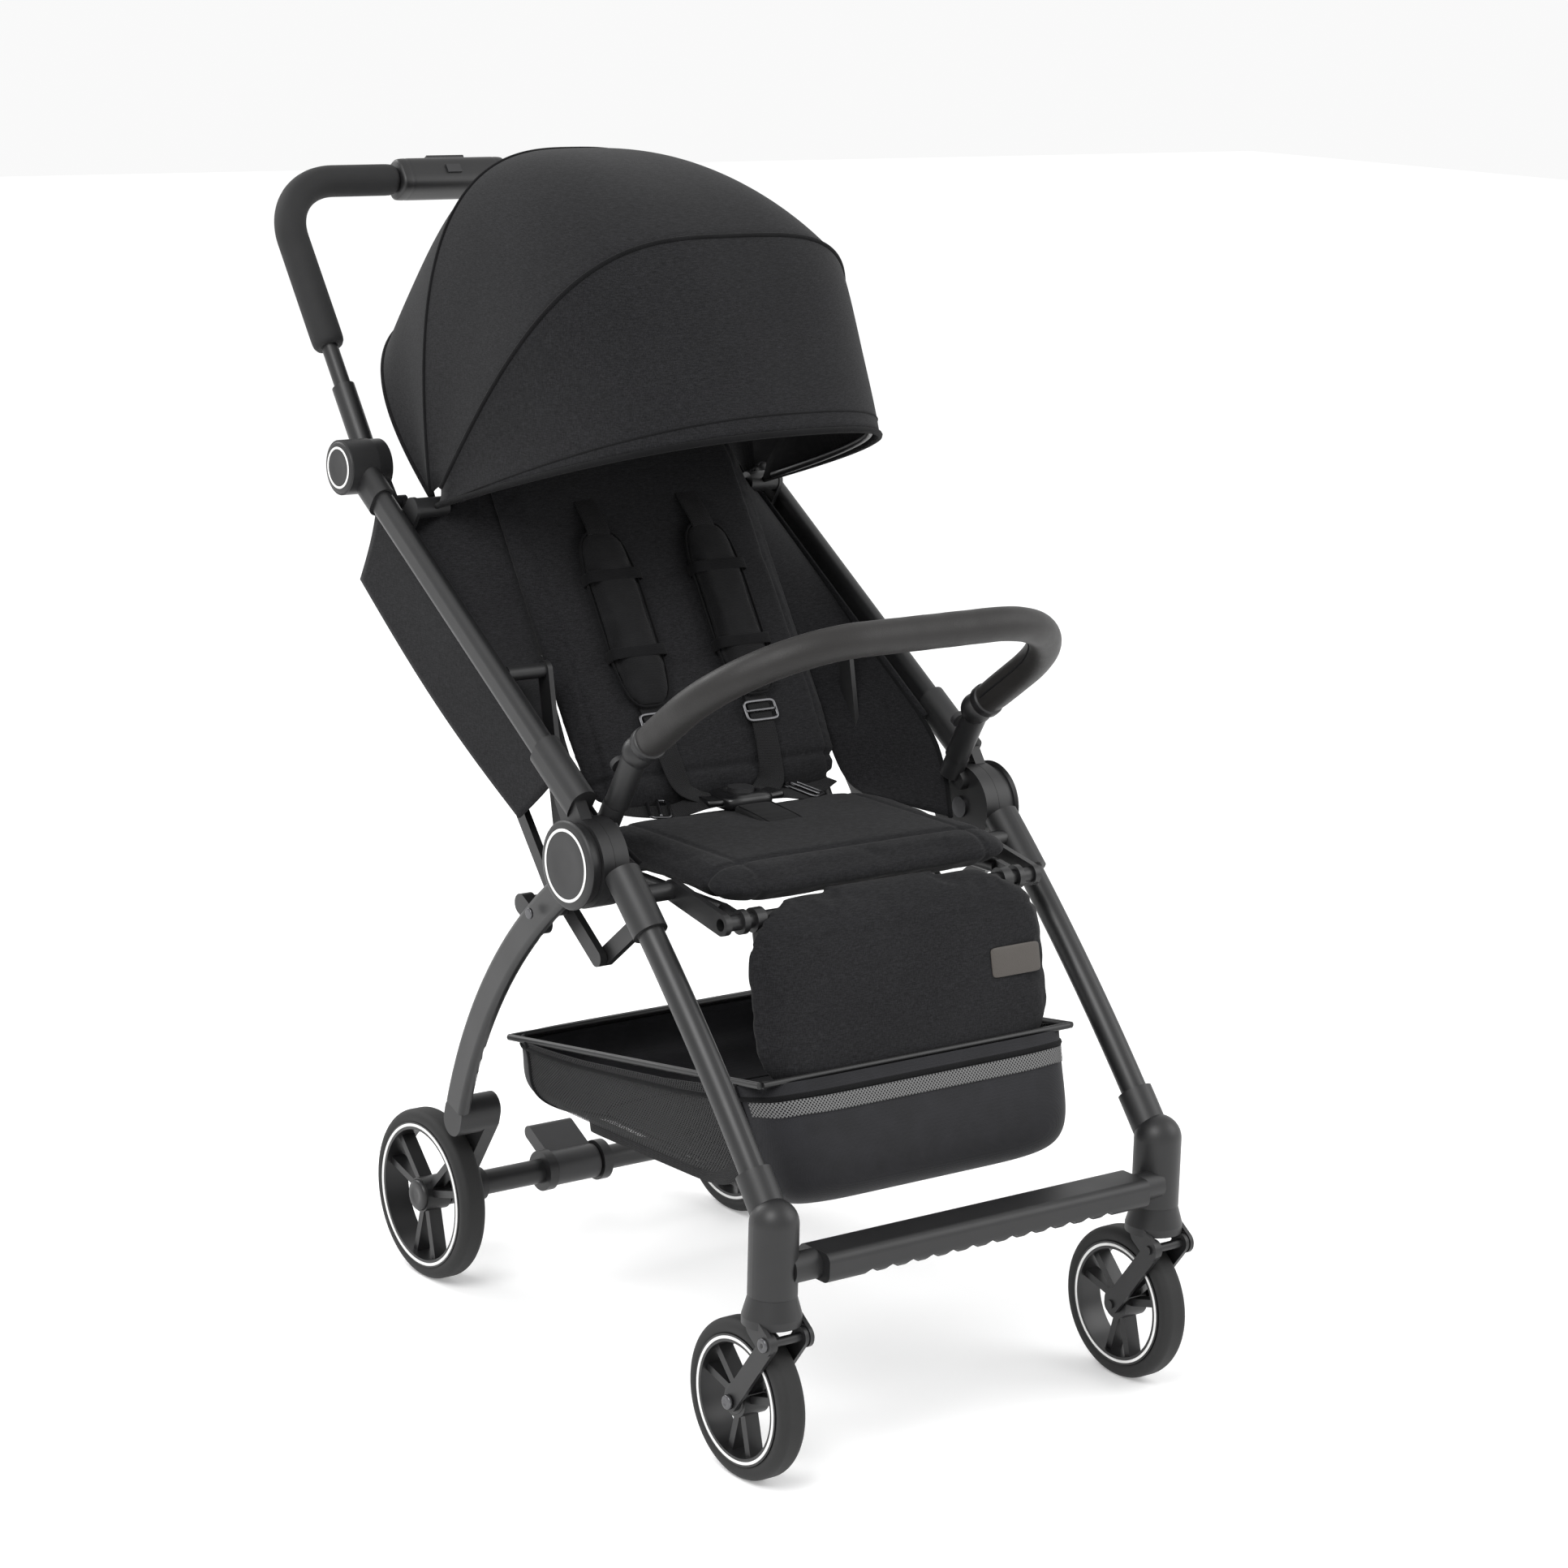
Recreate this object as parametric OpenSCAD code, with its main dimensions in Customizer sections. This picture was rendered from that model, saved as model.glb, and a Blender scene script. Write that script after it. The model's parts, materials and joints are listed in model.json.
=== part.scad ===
// Compact self-folding baby stroller.
// X is across, Y runs from the front casters to the push handle, Z is up from the floor.
// Side-view places are written [y, z], measured from the front swivel axis and the floor.

/* [Side frames] */
// Distance from the middle of the stroller to the centre of each seat rail
side_x = 219; // [212:1:240]
// Place of the main hinge, behind the front swivel axis
hub_y = 280; // [270:1:290]
// Height of the main hinge
hub_z = 487; // [480:1:495]
// Radius of the main hinge plates
hub_r = 40; // [36:1:42]
// Diameter of the main hinge pin
hub_pin_d = 12; // [8:0.5:16]
// Length of the seat rail from its lower socket to the top hinge
rail_len = 449; // [430:1:470]
// Rise of the seat rail above the horizontal, degrees
rail_slope = 33; // [30:1:36]
// Depth of the oval seat rail
rail_depth = 27; // [22:1:30]
// Width of the oval seat rail
rail_width = 17; // [14:1:18]
// Wall of all the metal tubes
tube_wall = 1.4; // [1:0.1:2.5]

/* [Front legs and casters] */
// Outer diameter of a front leg
front_leg_d = 24; // [20:1:26]
// Diameter of the housing above each caster
caster_housing_d = 43; // [38:1:46]
// Height of the seam between the caster housing and the turning caster head
caster_seam_z = 174; // [168:1:180]
// Diameter of the caster swivel stem
stem_d = 12; // [10:0.5:16]
// Radius of a front wheel
front_wheel_r = 70.5; // [64:0.5:73]
// Trail of the front wheel behind its swivel axis
caster_trail = 32; // [26:1:36]
// Depth of the footrest bar
footrest_depth = 44; // [34:1:46]

/* [Rear legs and wheels] */
// Width of the flat curved rear leg
rear_leg_w = 28; // [22:1:32]
// Thickness of the rear leg
rear_leg_t = 13; // [10:0.5:14]
// Inward lean of the rear leg, degrees
rear_lean = 8; // [6:0.5:9]
// Radius of a rear wheel
rear_wheel_r = 83.3; // [76:0.1:88]
// Place of the rear wheel axle, behind the front swivel axis
rear_axle_y = 597.6; // [590:0.1:606]
// Width of every tyre
tyre_w = 26; // [22:0.5:28]
// Diameter of the rear axle tube
axle_tube_d = 24; // [20:1:28]
// Diameter of the wheel axle bolts
bolt_d = 8; // [6:0.5:10]
// Running clearance round pins and axles, on the radius
fit_gap = 0.05; // [0.02:0.01:0.1]
// Side clearance between turning faces
face_gap = 0.3; // [0.2:0.05:0.6]

/* [Handle] */
// Slope of the push handle, degrees
handle_slope = 54; // [50:1:58]
// Length of the push handle from the top hinge
handle_len = 319; // [300:1:335]
// Diameter of the handle tube
handle_d = 16; // [14:0.5:18]
// Diameter of the foam grip
grip_d = 31; // [26:1:34]
// Bend radius of the handle corners
handle_bend = 65; // [50:1:80]
// Length of the fold-control housing in the middle of the handle
control_len = 124; // [100:1:140]

/* [Bumper bar] */
// Tilt of the bumper bar above the horizontal, degrees
bumper_tilt = 36; // [30:1:42]
// Reach of the bumper bar in front of its elbows
bumper_reach = 196; // [180:1:210]
// Diameter of the padded bumper sleeve
bumper_d = 30; // [26:1:34]
// Bend radius of the bumper corners
bumper_bend = 120; // [100:1:130]

/* [Seat] */
// Half of the seat width
seat_half = 163; // [150:1:164]
// Thickness of the seat pad
seat_t = 24; // [18:1:26]
// Slope of the backrest above the horizontal, degrees
back_slope = 57; // [54:1:60]
// Length of the backrest
back_len = 430; // [400:1:440]
// Half of the backrest width
back_half = 152; // [140:1:156]
// Length of the leg rest
legrest_len = 158; // [140:1:162]
// Half of the leg-rest width
legrest_half = 163; // [150:1:164]

/* [Canopy] */
// Half of the canopy width
canopy_half = 188; // [180:1:192]
// Reach of the front canopy bow from its pivot
canopy_reach = 338; // [320:1:345]
// Diameter of the canopy bows
bow_d = 7; // [5:0.5:9]

/* [Hidden] */
$fn = 48;

charcoal = [0.17, 0.17, 0.18];
black = [0.07, 0.07, 0.08];
fabric_grey = [0.22, 0.22, 0.23];

function dir(a) = [cos(a), sin(a)];
function left_of(v) = [-v[1], v[0]];

// Main hinge and the stack of plates on it, from the inside outwards
hub = [hub_y, hub_z];
front_plate_t = 14.7;
rail_plate_t = 11.7;
leg_disc_t = 11;
hub_in = side_x - 17;
rail_plate_x = hub_in + front_plate_t + face_gap;
leg_disc_x = rail_plate_x + rail_plate_t + face_gap;
hub_out = leg_disc_x + leg_disc_t;
hub_clear_r = hub_r + 2.5;

// Seat rail: it starts beside the hub and runs up to the top hinge
rail_dir = dir(rail_slope);
rail_foot = hub + [20, 54];
top = rail_foot + rail_len * rail_dir;
top_r = 26;
top_disc_x = side_x - 9.2;
socket_wall = 4;
rail_socket_len = 62;

// Front leg: a slightly bowed tube from the caster housing to the hub
leg_x = side_x - 5;
leg_foot = [25, 262];
leg_head = hub + [-52, -7];
leg_bow = 5;
front_socket_d = front_leg_d + 2 * socket_wall;

// Rear leg: a bowed flat bar, in a plane that leans inwards below the hub
rear_top = hub + [22, -29];
rear_foot = hub + [252.6, -296.6];
rear_bow = 22.5;
rear_foot_x = leg_disc_x + leg_disc_t / 2 - (hub_z - rear_foot[1]) * tan(rear_lean);
rear_axle_z = rear_wheel_r;
rear_wheel_x = side_x - 48.4;
bracket_t = 15;
bracket_x = rear_wheel_x - bracket_t - 3;
axle_tube = [rear_axle_y - 22, rear_axle_z + 8];

// Casters
caster_x = side_x - 4;
front_axle = [caster_trail, front_wheel_r];
arm_pivot = [-20, 139];
arm_t = 4;
arm_in = tyre_w / 2 + 1.5;
cheek_in = arm_in + arm_t + 0.5;
head_bottom_z = 149;
head_d = caster_housing_d + 9;
head_skirt = 7;
stem_top_z = 214;

// Handle
handle_x = side_x - 21;
handle_dir = dir(handle_slope);
handle_side_step = 13;
handle_start = top - handle_side_step * left_of(handle_dir);
handle_disc_t = 13.5;
handle_disc_x = top_disc_x - face_gap - handle_disc_t;
handle_lug_reach = 28;
sleeve_d = 22;
sleeve_len = 92;
grip_start = 136;
control_d = 36;
button_len = 43;
button_w = 16;
button_travel = 4;
slider_len = 16;
slider_w = 9;
slider_travel = 6;

// Folding links
strut_low = hub + [98, -59];
strut_lug_foot = hub + [72, -72];
strut_high = top + [-26.8, -32.1];
strut_x = side_x - 35;
strut_t = 7;
strut_w = 13;
brace_rear_end = hub + [60, -57];
brace_knuckle = hub + [10, -92];
brace_front_end = hub + [-58, -37];
brace_w = 16;
brace_t = 7;
brace_rear_x = side_x - 23;
brace_front_x = brace_rear_x - brace_t - 1;
link_pin_d = 8;

// Seat
seat_pivot = [140, 456];
cross_tube_d = 14;
bracket_plate_x = seat_half + 7;
bracket_plate_t = 6;
seat_tube_d = 14;
seat_tube_x = seat_half - 9;
seat_lug_t = 6;
seat_frame_rear = 340;
recline_pivot = [392, 462];
back_dir = dir(back_slope);
back_tube_d = 12;
back_tube_x = back_half - 14;
back_pad_t = 30;
legrest_dir = dir(-102);
legrest_pad_t = 20;
legrest_lug_x = seat_tube_x - seat_lug_t - 10;

// Bumper bar
bumper_x = side_x - 29;
bumper_elbow = hub + [-33, 102];
bumper_socket = hub + [-4, 51];
bumper_tube_d = 16;
connector_d = 23;
plug_d = 13;
plug_len = 16;
mount_d = 22;
mount_len = 22;
bumper_line = (bumper_elbow - bumper_socket) / norm(bumper_elbow - bumper_socket);
bumper_line_slope = atan2(bumper_line[1], bumper_line[0]);
bumper_button_travel = 2.5;

// Canopy: each bow is a hoop [angle above forward, half width, reach, squareness]
canopy_pivot = top + [-82, -30];
front_hoop = [18, canopy_half, canopy_reach, 2.5];
middle_hoop = [51.5, canopy_half, canopy_reach - 3, 3.5];
rear_hoop = [100, canopy_half, canopy_reach - 10, 2.8];
tail_hoop = [140, canopy_half - 6, canopy_reach - 76, 2.8];
canopy_cloth_t = 3;
hoop_start = 7;
hoop_steps = 26;

// Basket
basket_half = side_x - 37;
basket_cloth_t = 3;
basket_top_rear = [482, 273];
basket_bottom_rear = [500, 200];
basket_bottom_front = [20, 203];
basket_top_front = [70, 330];
rim_d = 6;
rim_half = basket_half - 6;

// Overall extents along Y, used to put the origin under the middle
grip_top = handle_start + handle_len * handle_dir;
front_most = min(front_axle[0] - front_wheel_r, -10 - footrest_depth / 2);
rear_most = grip_top[0] + control_d / 2;
mid_y = (front_most + rear_most) / 2;

// --- helpers -----------------------------------------------------------------

// Draws side-view shapes [y, z] and gives them thickness from x outwards
module side(x) { translate([x, 0, 0]) rotate([90, 0, 90]) children(); }

// Repeats its children on both sides of the stroller
module both() {
    children();
    mirror([1, 0, 0]) children();
}

// Keeps the right-hand copy (-X) or the left-hand copy (+X)
module one_side(s) {
    if (s < 0) mirror([1, 0, 0]) children();
    else children();
}

// A bar with round ends between two side-view points; its sides lie end_step inside the round ends
end_step = 0.02;
module capsule2d(p, q, w) {
    v = q - p;
    translate(p) circle(d = w);
    translate(q) circle(d = w);
    translate(p) rotate(atan2(v[1], v[0])) translate([0, end_step - w / 2]) square([norm(v), w - 2 * end_step]);
}

// A flat link of thickness t, starting at x
module link(p, q, w, x, t) { side(x) linear_extrude(t) capsule2d(p, q, w); }

// A cylinder along X through a side-view point
module pin(p, x0, x1, d) { side(x0) translate(p) cylinder(d = d, h = x1 - x0); }

// A straight round bar between two side-view points at the same x
module bar(p, q, x, d) {
    v = q - p;
    side(x) translate(p) rotate(atan2(v[1], v[0])) rotate([0, 90, 0]) cylinder(d = d, h = norm(v));
}

// Sweeps a 2D section along an arc that bulges by bow to the left of p -> q
module arc_sweep(p, q, bow, f0, f1) {
    half = norm(q - p) / 2;
    r = (half * half + bow * bow) / (2 * bow);
    u = (q - p) / norm(q - p);
    c = (p + q) / 2 + (bow - r) * left_of(u);
    a0 = atan2(p[1] - c[1], p[0] - c[0]);
    sweep = 2 * asin(half / r);
    translate(c) rotate(a0 - f1 * sweep) rotate_extrude(angle = (f1 - f0) * sweep, $fn = 180)
        translate([r, 0]) children();
}

module rounded_rect(w, h, r) {
    square([w - 2 * r, h], center = true);
    square([w, h - 2 * r], center = true);
    for (sx = [-1, 1], sy = [-1, 1]) translate([sx * (w / 2 - r), sy * (h / 2 - r)]) circle(r = r);
}

// Oval tube section: deep in the side view, narrow across
module oval2d(depth, width) {
    square([depth - width, width], center = true);
    for (s = [-1, 1]) translate([s * (depth - width) / 2, 0]) circle(d = width);
}

// Straight length of the oval rail section between two distances along the rail
module rail_length(from, to, grow) {
    side(side_x) translate(rail_foot) rotate(rail_slope) translate([from, 0, 0])
        rotate([90, 0, 90]) linear_extrude(to - from)
        oval2d(rail_depth + 2 * grow, rail_width + 2 * grow);
}

// A planar U of round bar in the XY plane: legs along +Y at +-half, closed at y = reach
module u_bar(half, reach, bend, d, from, gap) {
    both() {
        translate([half, from, 0]) rotate([-90, 0, 0]) cylinder(d = d, h = reach - bend - from);
        translate([half - bend, reach - bend, 0]) rotate_extrude(angle = 90, $fn = 96)
            translate([bend, 0]) circle(d = d);
        translate([gap, reach, 0]) rotate([0, 90, 0]) cylinder(d = d, h = half - bend - gap);
    }
}

module handle_plane() {
    translate([0, handle_start[0], handle_start[1]]) rotate([handle_slope, 0, 0]) children();
}

module bumper_plane() {
    translate([0, bumper_elbow[0], bumper_elbow[1]]) rotate([180 - bumper_tilt, 0, 0]) children();
}

// Point on a canopy hoop, t runs from 0 to 180 degrees over the top
function hoop_point(h, t, inset) = let(
    c = cos(t),
    across = (h[1] - inset) * sign(c) * pow(abs(c), 2 / h[3]),
    out = (h[2] - inset) * pow(sin(t), 2 / h[3]))
    [across, canopy_pivot[0] - out * cos(h[0]), canopy_pivot[1] + out * sin(h[0])];
function hoop_t(j) = hoop_start + (180 - 2 * hoop_start) * j / hoop_steps;
function hoop_row(h, inset) = [for (j = [0:hoop_steps]) hoop_point(h, hoop_t(j), inset)];
function between(a, b, f) = a + (b - a) * f;

// Closed cloth shell lofted between two canopy hoops
module canopy_shell(h0, h1, rows) {
    n = hoop_steps + 1;
    outer = [for (i = [0:rows]) each hoop_row(between(h0, h1, i / rows), 0)];
    inner = [for (i = [0:rows]) each hoop_row(between(h0, h1, i / rows), canopy_cloth_t)];
    k = len(outer);
    grid = [for (i = [0:rows - 1], j = [0:n - 2]) [i * n + j, i * n + j + 1, (i + 1) * n + j + 1, (i + 1) * n + j]];
    polyhedron(points = concat(outer, inner), faces = concat(
        [for (q = grid) [q[3], q[2], q[1], q[0]]],
        [for (q = grid) [q[0] + k, q[1] + k, q[2] + k, q[3] + k]],
        [for (j = [0:n - 2]) [j, j + 1, j + 1 + k, j + k]],
        [for (j = [0:n - 2]) let(b = rows * n + j) [b + k, b + k + 1, b + 1, b]],
        [for (i = [0:rows - 1]) [(i + 1) * n, i * n, i * n + k, (i + 1) * n + k]],
        [for (i = [0:rows - 1]) let(b = i * n + n - 1) [b, b + n, b + n + k, b + k]]));
}

// Round wire bent along a canopy hoop
module bow_wire(h, inset) {
    sides = 10;
    path = hoop_row(h, inset);
    n = len(path);
    normal = [0, sin(h[0]), cos(h[0])];
    ring = [for (j = [0:n - 1]) let(
        a = path[max(j - 1, 0)],
        b = path[min(j + 1, n - 1)],
        along = (b - a) / norm(b - a),
        out = cross(along, normal))
        for (k = [0:sides - 1])
            path[j] + bow_d / 2 * (out * cos(360 * k / sides) + normal * sin(360 * k / sides))];
    polyhedron(points = ring, faces = concat(
        [[for (k = [0:sides - 1]) k]],
        [[for (k = [0:sides - 1]) (n - 1) * sides + sides - 1 - k]],
        [for (j = [0:n - 2], k = [0:sides - 1]) let(
            p = j * sides + k,
            q = j * sides + (k + 1) % sides)
            [p, p + sides, q + sides, q]]));
}

// --- front frame -------------------------------------------------------------

module front_leg_sweep(d, f0, f1) {
    side(leg_x) arc_sweep(leg_foot, leg_head, leg_bow, f0, f1) circle(d = d);
}

module front_legs() {
    color(black) both() difference() {
        front_leg_sweep(front_leg_d, 0, 1);
        front_leg_sweep(front_leg_d - 2 * tube_wall, -0.02, 1.02);
    }
}

module front_hub_plates() {
    color(charcoal) both() difference() {
        union() {
            side(hub_in) translate(hub) cylinder(r = hub_r, h = front_plate_t);
            front_leg_sweep(front_socket_d, 0.82, 1.03);
        }
        front_leg_sweep(front_leg_d, 0.7, 1);
        pin(hub, hub_in - 1, hub_out, hub_pin_d);
        side(hub_in + front_plate_t) translate(hub) cylinder(r = hub_clear_r, h = 30);
    }
}

module hub_pins() {
    head_t = 2;
    color(black) both() {
        pin(hub, hub_in, leg_disc_x + leg_disc_t / 2, hub_pin_d);
        pin(hub, hub_in - head_t, hub_in, hub_pin_d + 8);
    }
}

module caster_housings() {
    dome_z = 236;
    color(black) both() difference() {
        union() {
            translate([caster_x, 0, caster_seam_z]) cylinder(d = caster_housing_d, h = dome_z - caster_seam_z);
            translate([caster_x, 0, dome_z]) sphere(d = caster_housing_d);
            front_leg_sweep(front_socket_d, -0.09, 0.04);
        }
        front_leg_sweep(front_leg_d, 0, 0.3);
        translate([caster_x, 0, caster_seam_z - 1])
            cylinder(d = stem_d + 2 * fit_gap, h = stem_top_z + 2 - caster_seam_z + 1);
    }
}

footrest_at = [-10, 197];
stub_d = 26;
stub_len = 14;
module footrest_bar() {
    bar_t = 26;
    rib_count = 13;
    rib_pitch = 22;
    rib_d = 17;
    rib_drop = 16;
    half = caster_x - caster_housing_d / 2 - stub_len;
    color(black) difference() {
        translate([-half, 0, 0]) side(0) linear_extrude(2 * half) translate(footrest_at)
            rounded_rect(footrest_depth, bar_t, 8);
        for (i = [-(rib_count - 1) / 2:(rib_count - 1) / 2])
            translate([i * rib_pitch, footrest_at[0], footrest_at[1] - rib_drop]) rotate([90, 0, 0])
                cylinder(d = rib_d, h = footrest_depth + 2, center = true);
    }
}

module footrest_stubs() {
    half = caster_x - caster_housing_d / 2 - stub_len;
    color(charcoal) both() difference() {
        pin(footrest_at, half, caster_x - 8, stub_d);
        translate([caster_x, 0, caster_seam_z]) cylinder(d = caster_housing_d, h = 90);
    }
}

module seat_brackets() {
    foot = hub + [-65, -17];
    color(charcoal) {
        both() difference() {
            union() {
                link(seat_pivot, foot, 20, bracket_plate_x, bracket_plate_t);
                pin(foot, bracket_plate_x, hub_in + 3, 16);
            }
            front_leg_sweep(front_socket_d, 0.7, 1.1);
            pin(seat_pivot, 0, side_x, cross_tube_d);
        }
        difference() {
            pin(seat_pivot, -bracket_plate_x - bracket_plate_t, bracket_plate_x + bracket_plate_t, cross_tube_d);
            pin(seat_pivot, -side_x, side_x, cross_tube_d - 2 * tube_wall);
        }
    }
}

module bumper_mounts() {
    inner = bumper_socket - mount_len * bumper_line;
    color(charcoal) both() difference() {
        union() {
            bar(inner, bumper_socket, bumper_x + 4, mount_d);
            link(inner + 4 * bumper_line, hub + [-4, 26], 16, bumper_x + 4, hub_in - bumper_x - 4);
        }
        bar(bumper_socket - (plug_len + 1) * bumper_line, bumper_socket + bumper_line, bumper_x + 4,
            plug_d + 2 * fit_gap);
        pin(hub, bumper_x - 21, hub_in, hub_pin_d + 10);
        side(hub_in) translate(hub) cylinder(r = hub_r, h = front_plate_t);
    }
}

module basket_outline(inset, lift) {
    polygon([basket_top_rear + [-inset, lift], basket_bottom_rear + [-inset, inset],
        basket_bottom_front + [inset, inset], basket_top_front + [inset, lift]]);
}

module basket_bag() {
    inner_half = basket_half - basket_cloth_t;
    color(charcoal) difference() {
        translate([-basket_half, 0, 0]) side(0) linear_extrude(2 * basket_half) basket_outline(0, 0);
        translate([-inner_half, 0, 0]) side(0) linear_extrude(2 * inner_half)
            basket_outline(basket_cloth_t, 20);
    }
}

module basket_rim() {
    inset = 6;
    front = basket_top_front + [inset + 3, -2];
    rear = basket_top_rear + [-inset - 3, -2];
    color(black) {
        both() bar(front, rear, rim_half - 1, rim_d);
        for (p = [front, rear]) pin(p, -rim_half + 1 + rim_d / 2, rim_half - 1 - rim_d / 2, rim_d);
    }
}

// --- seat rails --------------------------------------------------------------

module seat_rails() {
    color(black) both() difference() {
        rail_length(0, rail_len - top_r + 2, 0);
        rail_length(-1, rail_len, -tube_wall);
        side(0) translate(top) cylinder(r = top_r, h = side_x * 2);
    }
}

module rail_sockets() {
    color(charcoal) both() difference() {
        union() {
            side(rail_plate_x) translate(hub) cylinder(r = hub_r, h = rail_plate_t);
            link(hub + [2, 20], rail_foot + [6, 0], 30, rail_plate_x, rail_plate_t);
            rail_length(-10, rail_socket_len, socket_wall);
        }
        rail_length(0, rail_len, 0);
        pin(hub, 0, hub_out, hub_pin_d + 2 * fit_gap);
        side(rail_plate_x - 30) translate(hub) cylinder(r = hub_clear_r, h = 30);
        side(rail_plate_x + rail_plate_t) translate(hub) cylinder(r = hub_clear_r, h = 30);
    }
}

module top_hinge_housings() {
    wall_out = hub_out - top_disc_x - 1;
    color(charcoal) both() difference() {
        union() {
            side(top_disc_x) translate(top) cylinder(r = top_r, h = wall_out);
            rail_length(rail_len - 52, rail_len - 10, socket_wall - 1);
        }
        difference() {
            rail_length(rail_len - 60, rail_len, 0);
            side(top_disc_x - 1) translate(top) cylinder(r = top_r, h = wall_out + 1);
        }
        side(0) translate(top) cylinder(r = top_r + handle_lug_reach, h = top_disc_x);
        pin(top, top_disc_x - 1, top_disc_x + 14, hub_pin_d + 2 * fit_gap);
    }
}

module recline_brackets() {
    plate_x = seat_half + 5;
    plate_t = 5;
    color(charcoal) both() difference() {
        union() {
            link(recline_pivot, recline_arm_top, 18, plate_x, plate_t);
            pin(recline_arm_top, plate_x + plate_t, side_x - rail_width / 2 + 2, 14);
            pin(recline_pivot, back_tube_x - back_tube_d / 2 - 6, plate_x, link_pin_d);
        }
        rail_length(0, rail_len, 0);
    }
}

recline_arm_top = rail_foot + 154 * rail_dir + 5 * left_of(rail_dir);
module side_panels() {
    cloth_t = 3;
    under = (rail_depth / 2 + 3) * left_of(rail_dir);
    color(fabric_grey) both() side(side_x - 13 - cloth_t) linear_extrude(cloth_t) polygon([
        rail_foot + 70 * rail_dir - under, top - 79 * rail_dir - under,
        top + [18, -112], top + [-78, -126], rail_foot + [120, -40]]);
}

module canopy_clamps() {
    plate_t = 4;
    plate_x = side_x - rail_width / 2 - plate_t;
    color(black) both() {
        pin(canopy_pivot, canopy_half - 14, plate_x, 20);
        link(canopy_pivot, canopy_pivot - 30 * left_of(rail_dir), 22, plate_x, plate_t);
    }
}

module canopy_rear_bow() { color(black) bow_wire(rear_hoop, canopy_cloth_t + bow_d / 2 + 1); }
module canopy_middle_bow() { color(black) bow_wire(middle_hoop, canopy_cloth_t + bow_d / 2 + 1); }
module canopy_front_bow() { color(black) bow_wire(front_hoop, canopy_cloth_t + bow_d / 2 + 1); }

gap_angle = 0.2;
module canopy_rear_panel() {
    color(fabric_grey) canopy_shell(rear_hoop + [gap_angle, 0, 0, 0], tail_hoop, 5);
}
module canopy_middle_panel() {
    color(fabric_grey) canopy_shell(middle_hoop + [gap_angle, 0, 0, 0], rear_hoop - [gap_angle, 0, 0, 0], 6);
}
module canopy_visor() {
    color(fabric_grey) canopy_shell(front_hoop, middle_hoop - [gap_angle, 0, 0, 0], 5);
}

// --- rear legs ---------------------------------------------------------------

// Leans a shape inwards about the hub line
module lean() {
    pivot_x = leg_disc_x + leg_disc_t / 2;
    translate([pivot_x, 0, hub_z]) rotate([0, rear_lean, 0]) translate([0, 0, -hub_z]) children();
}

module rear_leg_band(w, t, r, from = 0) {
    lean() side(0) arc_sweep(rear_top, rear_foot, rear_bow, from, 1.01) rounded_rect(w, t, r);
}

module rear_legs() {
    lug_x = strut_x + strut_t + face_gap;
    color(black) both() difference() {
        union() {
            side(leg_disc_x) translate(hub) cylinder(r = hub_r - 4, h = leg_disc_t);
            rear_leg_band(rear_leg_w, rear_leg_t, 5);
            link(strut_low, strut_lug_foot, 19, side_x - 5, 12);
            pin(strut_low, lug_x, side_x - 5, 13);
            pin(brace_rear_end, brace_rear_x + brace_t + face_gap, leg_disc_x - 2, 13);
        }
        rear_leg_band(rear_leg_w - 2 * tube_wall, rear_leg_t - 2 * tube_wall, 3, 0.2);
        pin(hub, 0, leg_disc_x + leg_disc_t / 2, hub_pin_d + 2 * fit_gap);
        side(leg_disc_x - 30) translate(hub) cylinder(r = hub_clear_r, h = 30);
    }
}

module rear_wheel_brackets() {
    low = [rear_axle_y, rear_axle_z];
    knee = rear_foot + [6, -16];
    color(black) both() difference() {
        union() {
            link(knee, low, 30, bracket_x, bracket_t);
            link(rear_foot + [4, -8], knee, 30, bracket_x, rear_foot_x - bracket_x + 4);
            pin(axle_tube, bracket_x - 12, bracket_x + 2, axle_tube_d + 8);
        }
        rear_leg_band(rear_leg_w, rear_leg_t, 5);
        pin(axle_tube, 0, bracket_x, axle_tube_d);
        pin(low, bracket_x - 1, rear_wheel_x + tyre_w, bolt_d);
    }
}

pedal_mid = -35;
pedal_w = 50;
module rear_axle() {
    color(black) {
        difference() {
            pin(axle_tube, -bracket_x, bracket_x, axle_tube_d);
            pin(axle_tube, -bracket_x - 1, bracket_x + 1, axle_tube_d - 2 * tube_wall);
        }
        both() {
            pin([rear_axle_y, rear_axle_z], bracket_x, rear_wheel_x + tyre_w - 2, bolt_d);
        }
        for (s = [-1, 1]) difference() {
            pin(axle_tube, pedal_mid + s * (pedal_w / 2 + 7) - 5, pedal_mid + s * (pedal_w / 2 + 7) + 5, axle_tube_d + 16);
            pin(axle_tube, -side_x, side_x, axle_tube_d);
        }
    }
}

module brake_pedal() {
    color(charcoal) difference() {
        union() {
            pin(axle_tube, pedal_mid - pedal_w / 2, pedal_mid + pedal_w / 2, axle_tube_d + 10);
            link(axle_tube + [6, 8], axle_tube + [40, 26], 14, pedal_mid - pedal_w / 2, pedal_w);
        }
        pin(axle_tube, -side_x, side_x, axle_tube_d + 2 * fit_gap);
    }
}

// --- wheels ------------------------------------------------------------------

module wheel_at(axle_at, x) { translate([x, axle_at[0], axle_at[1]]) rotate([0, 90, 0]) children(); }

module tyre(r, rim_r) {
    shoulder = 8;
    color(black) rotate_extrude($fn = 96) difference() {
        translate([r - shoulder, tyre_w / 2]) rounded_rect(2 * shoulder, tyre_w, shoulder - 0.5);
        translate([0, -1]) square([rim_r, tyre_w + 2]);
    }
}

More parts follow.
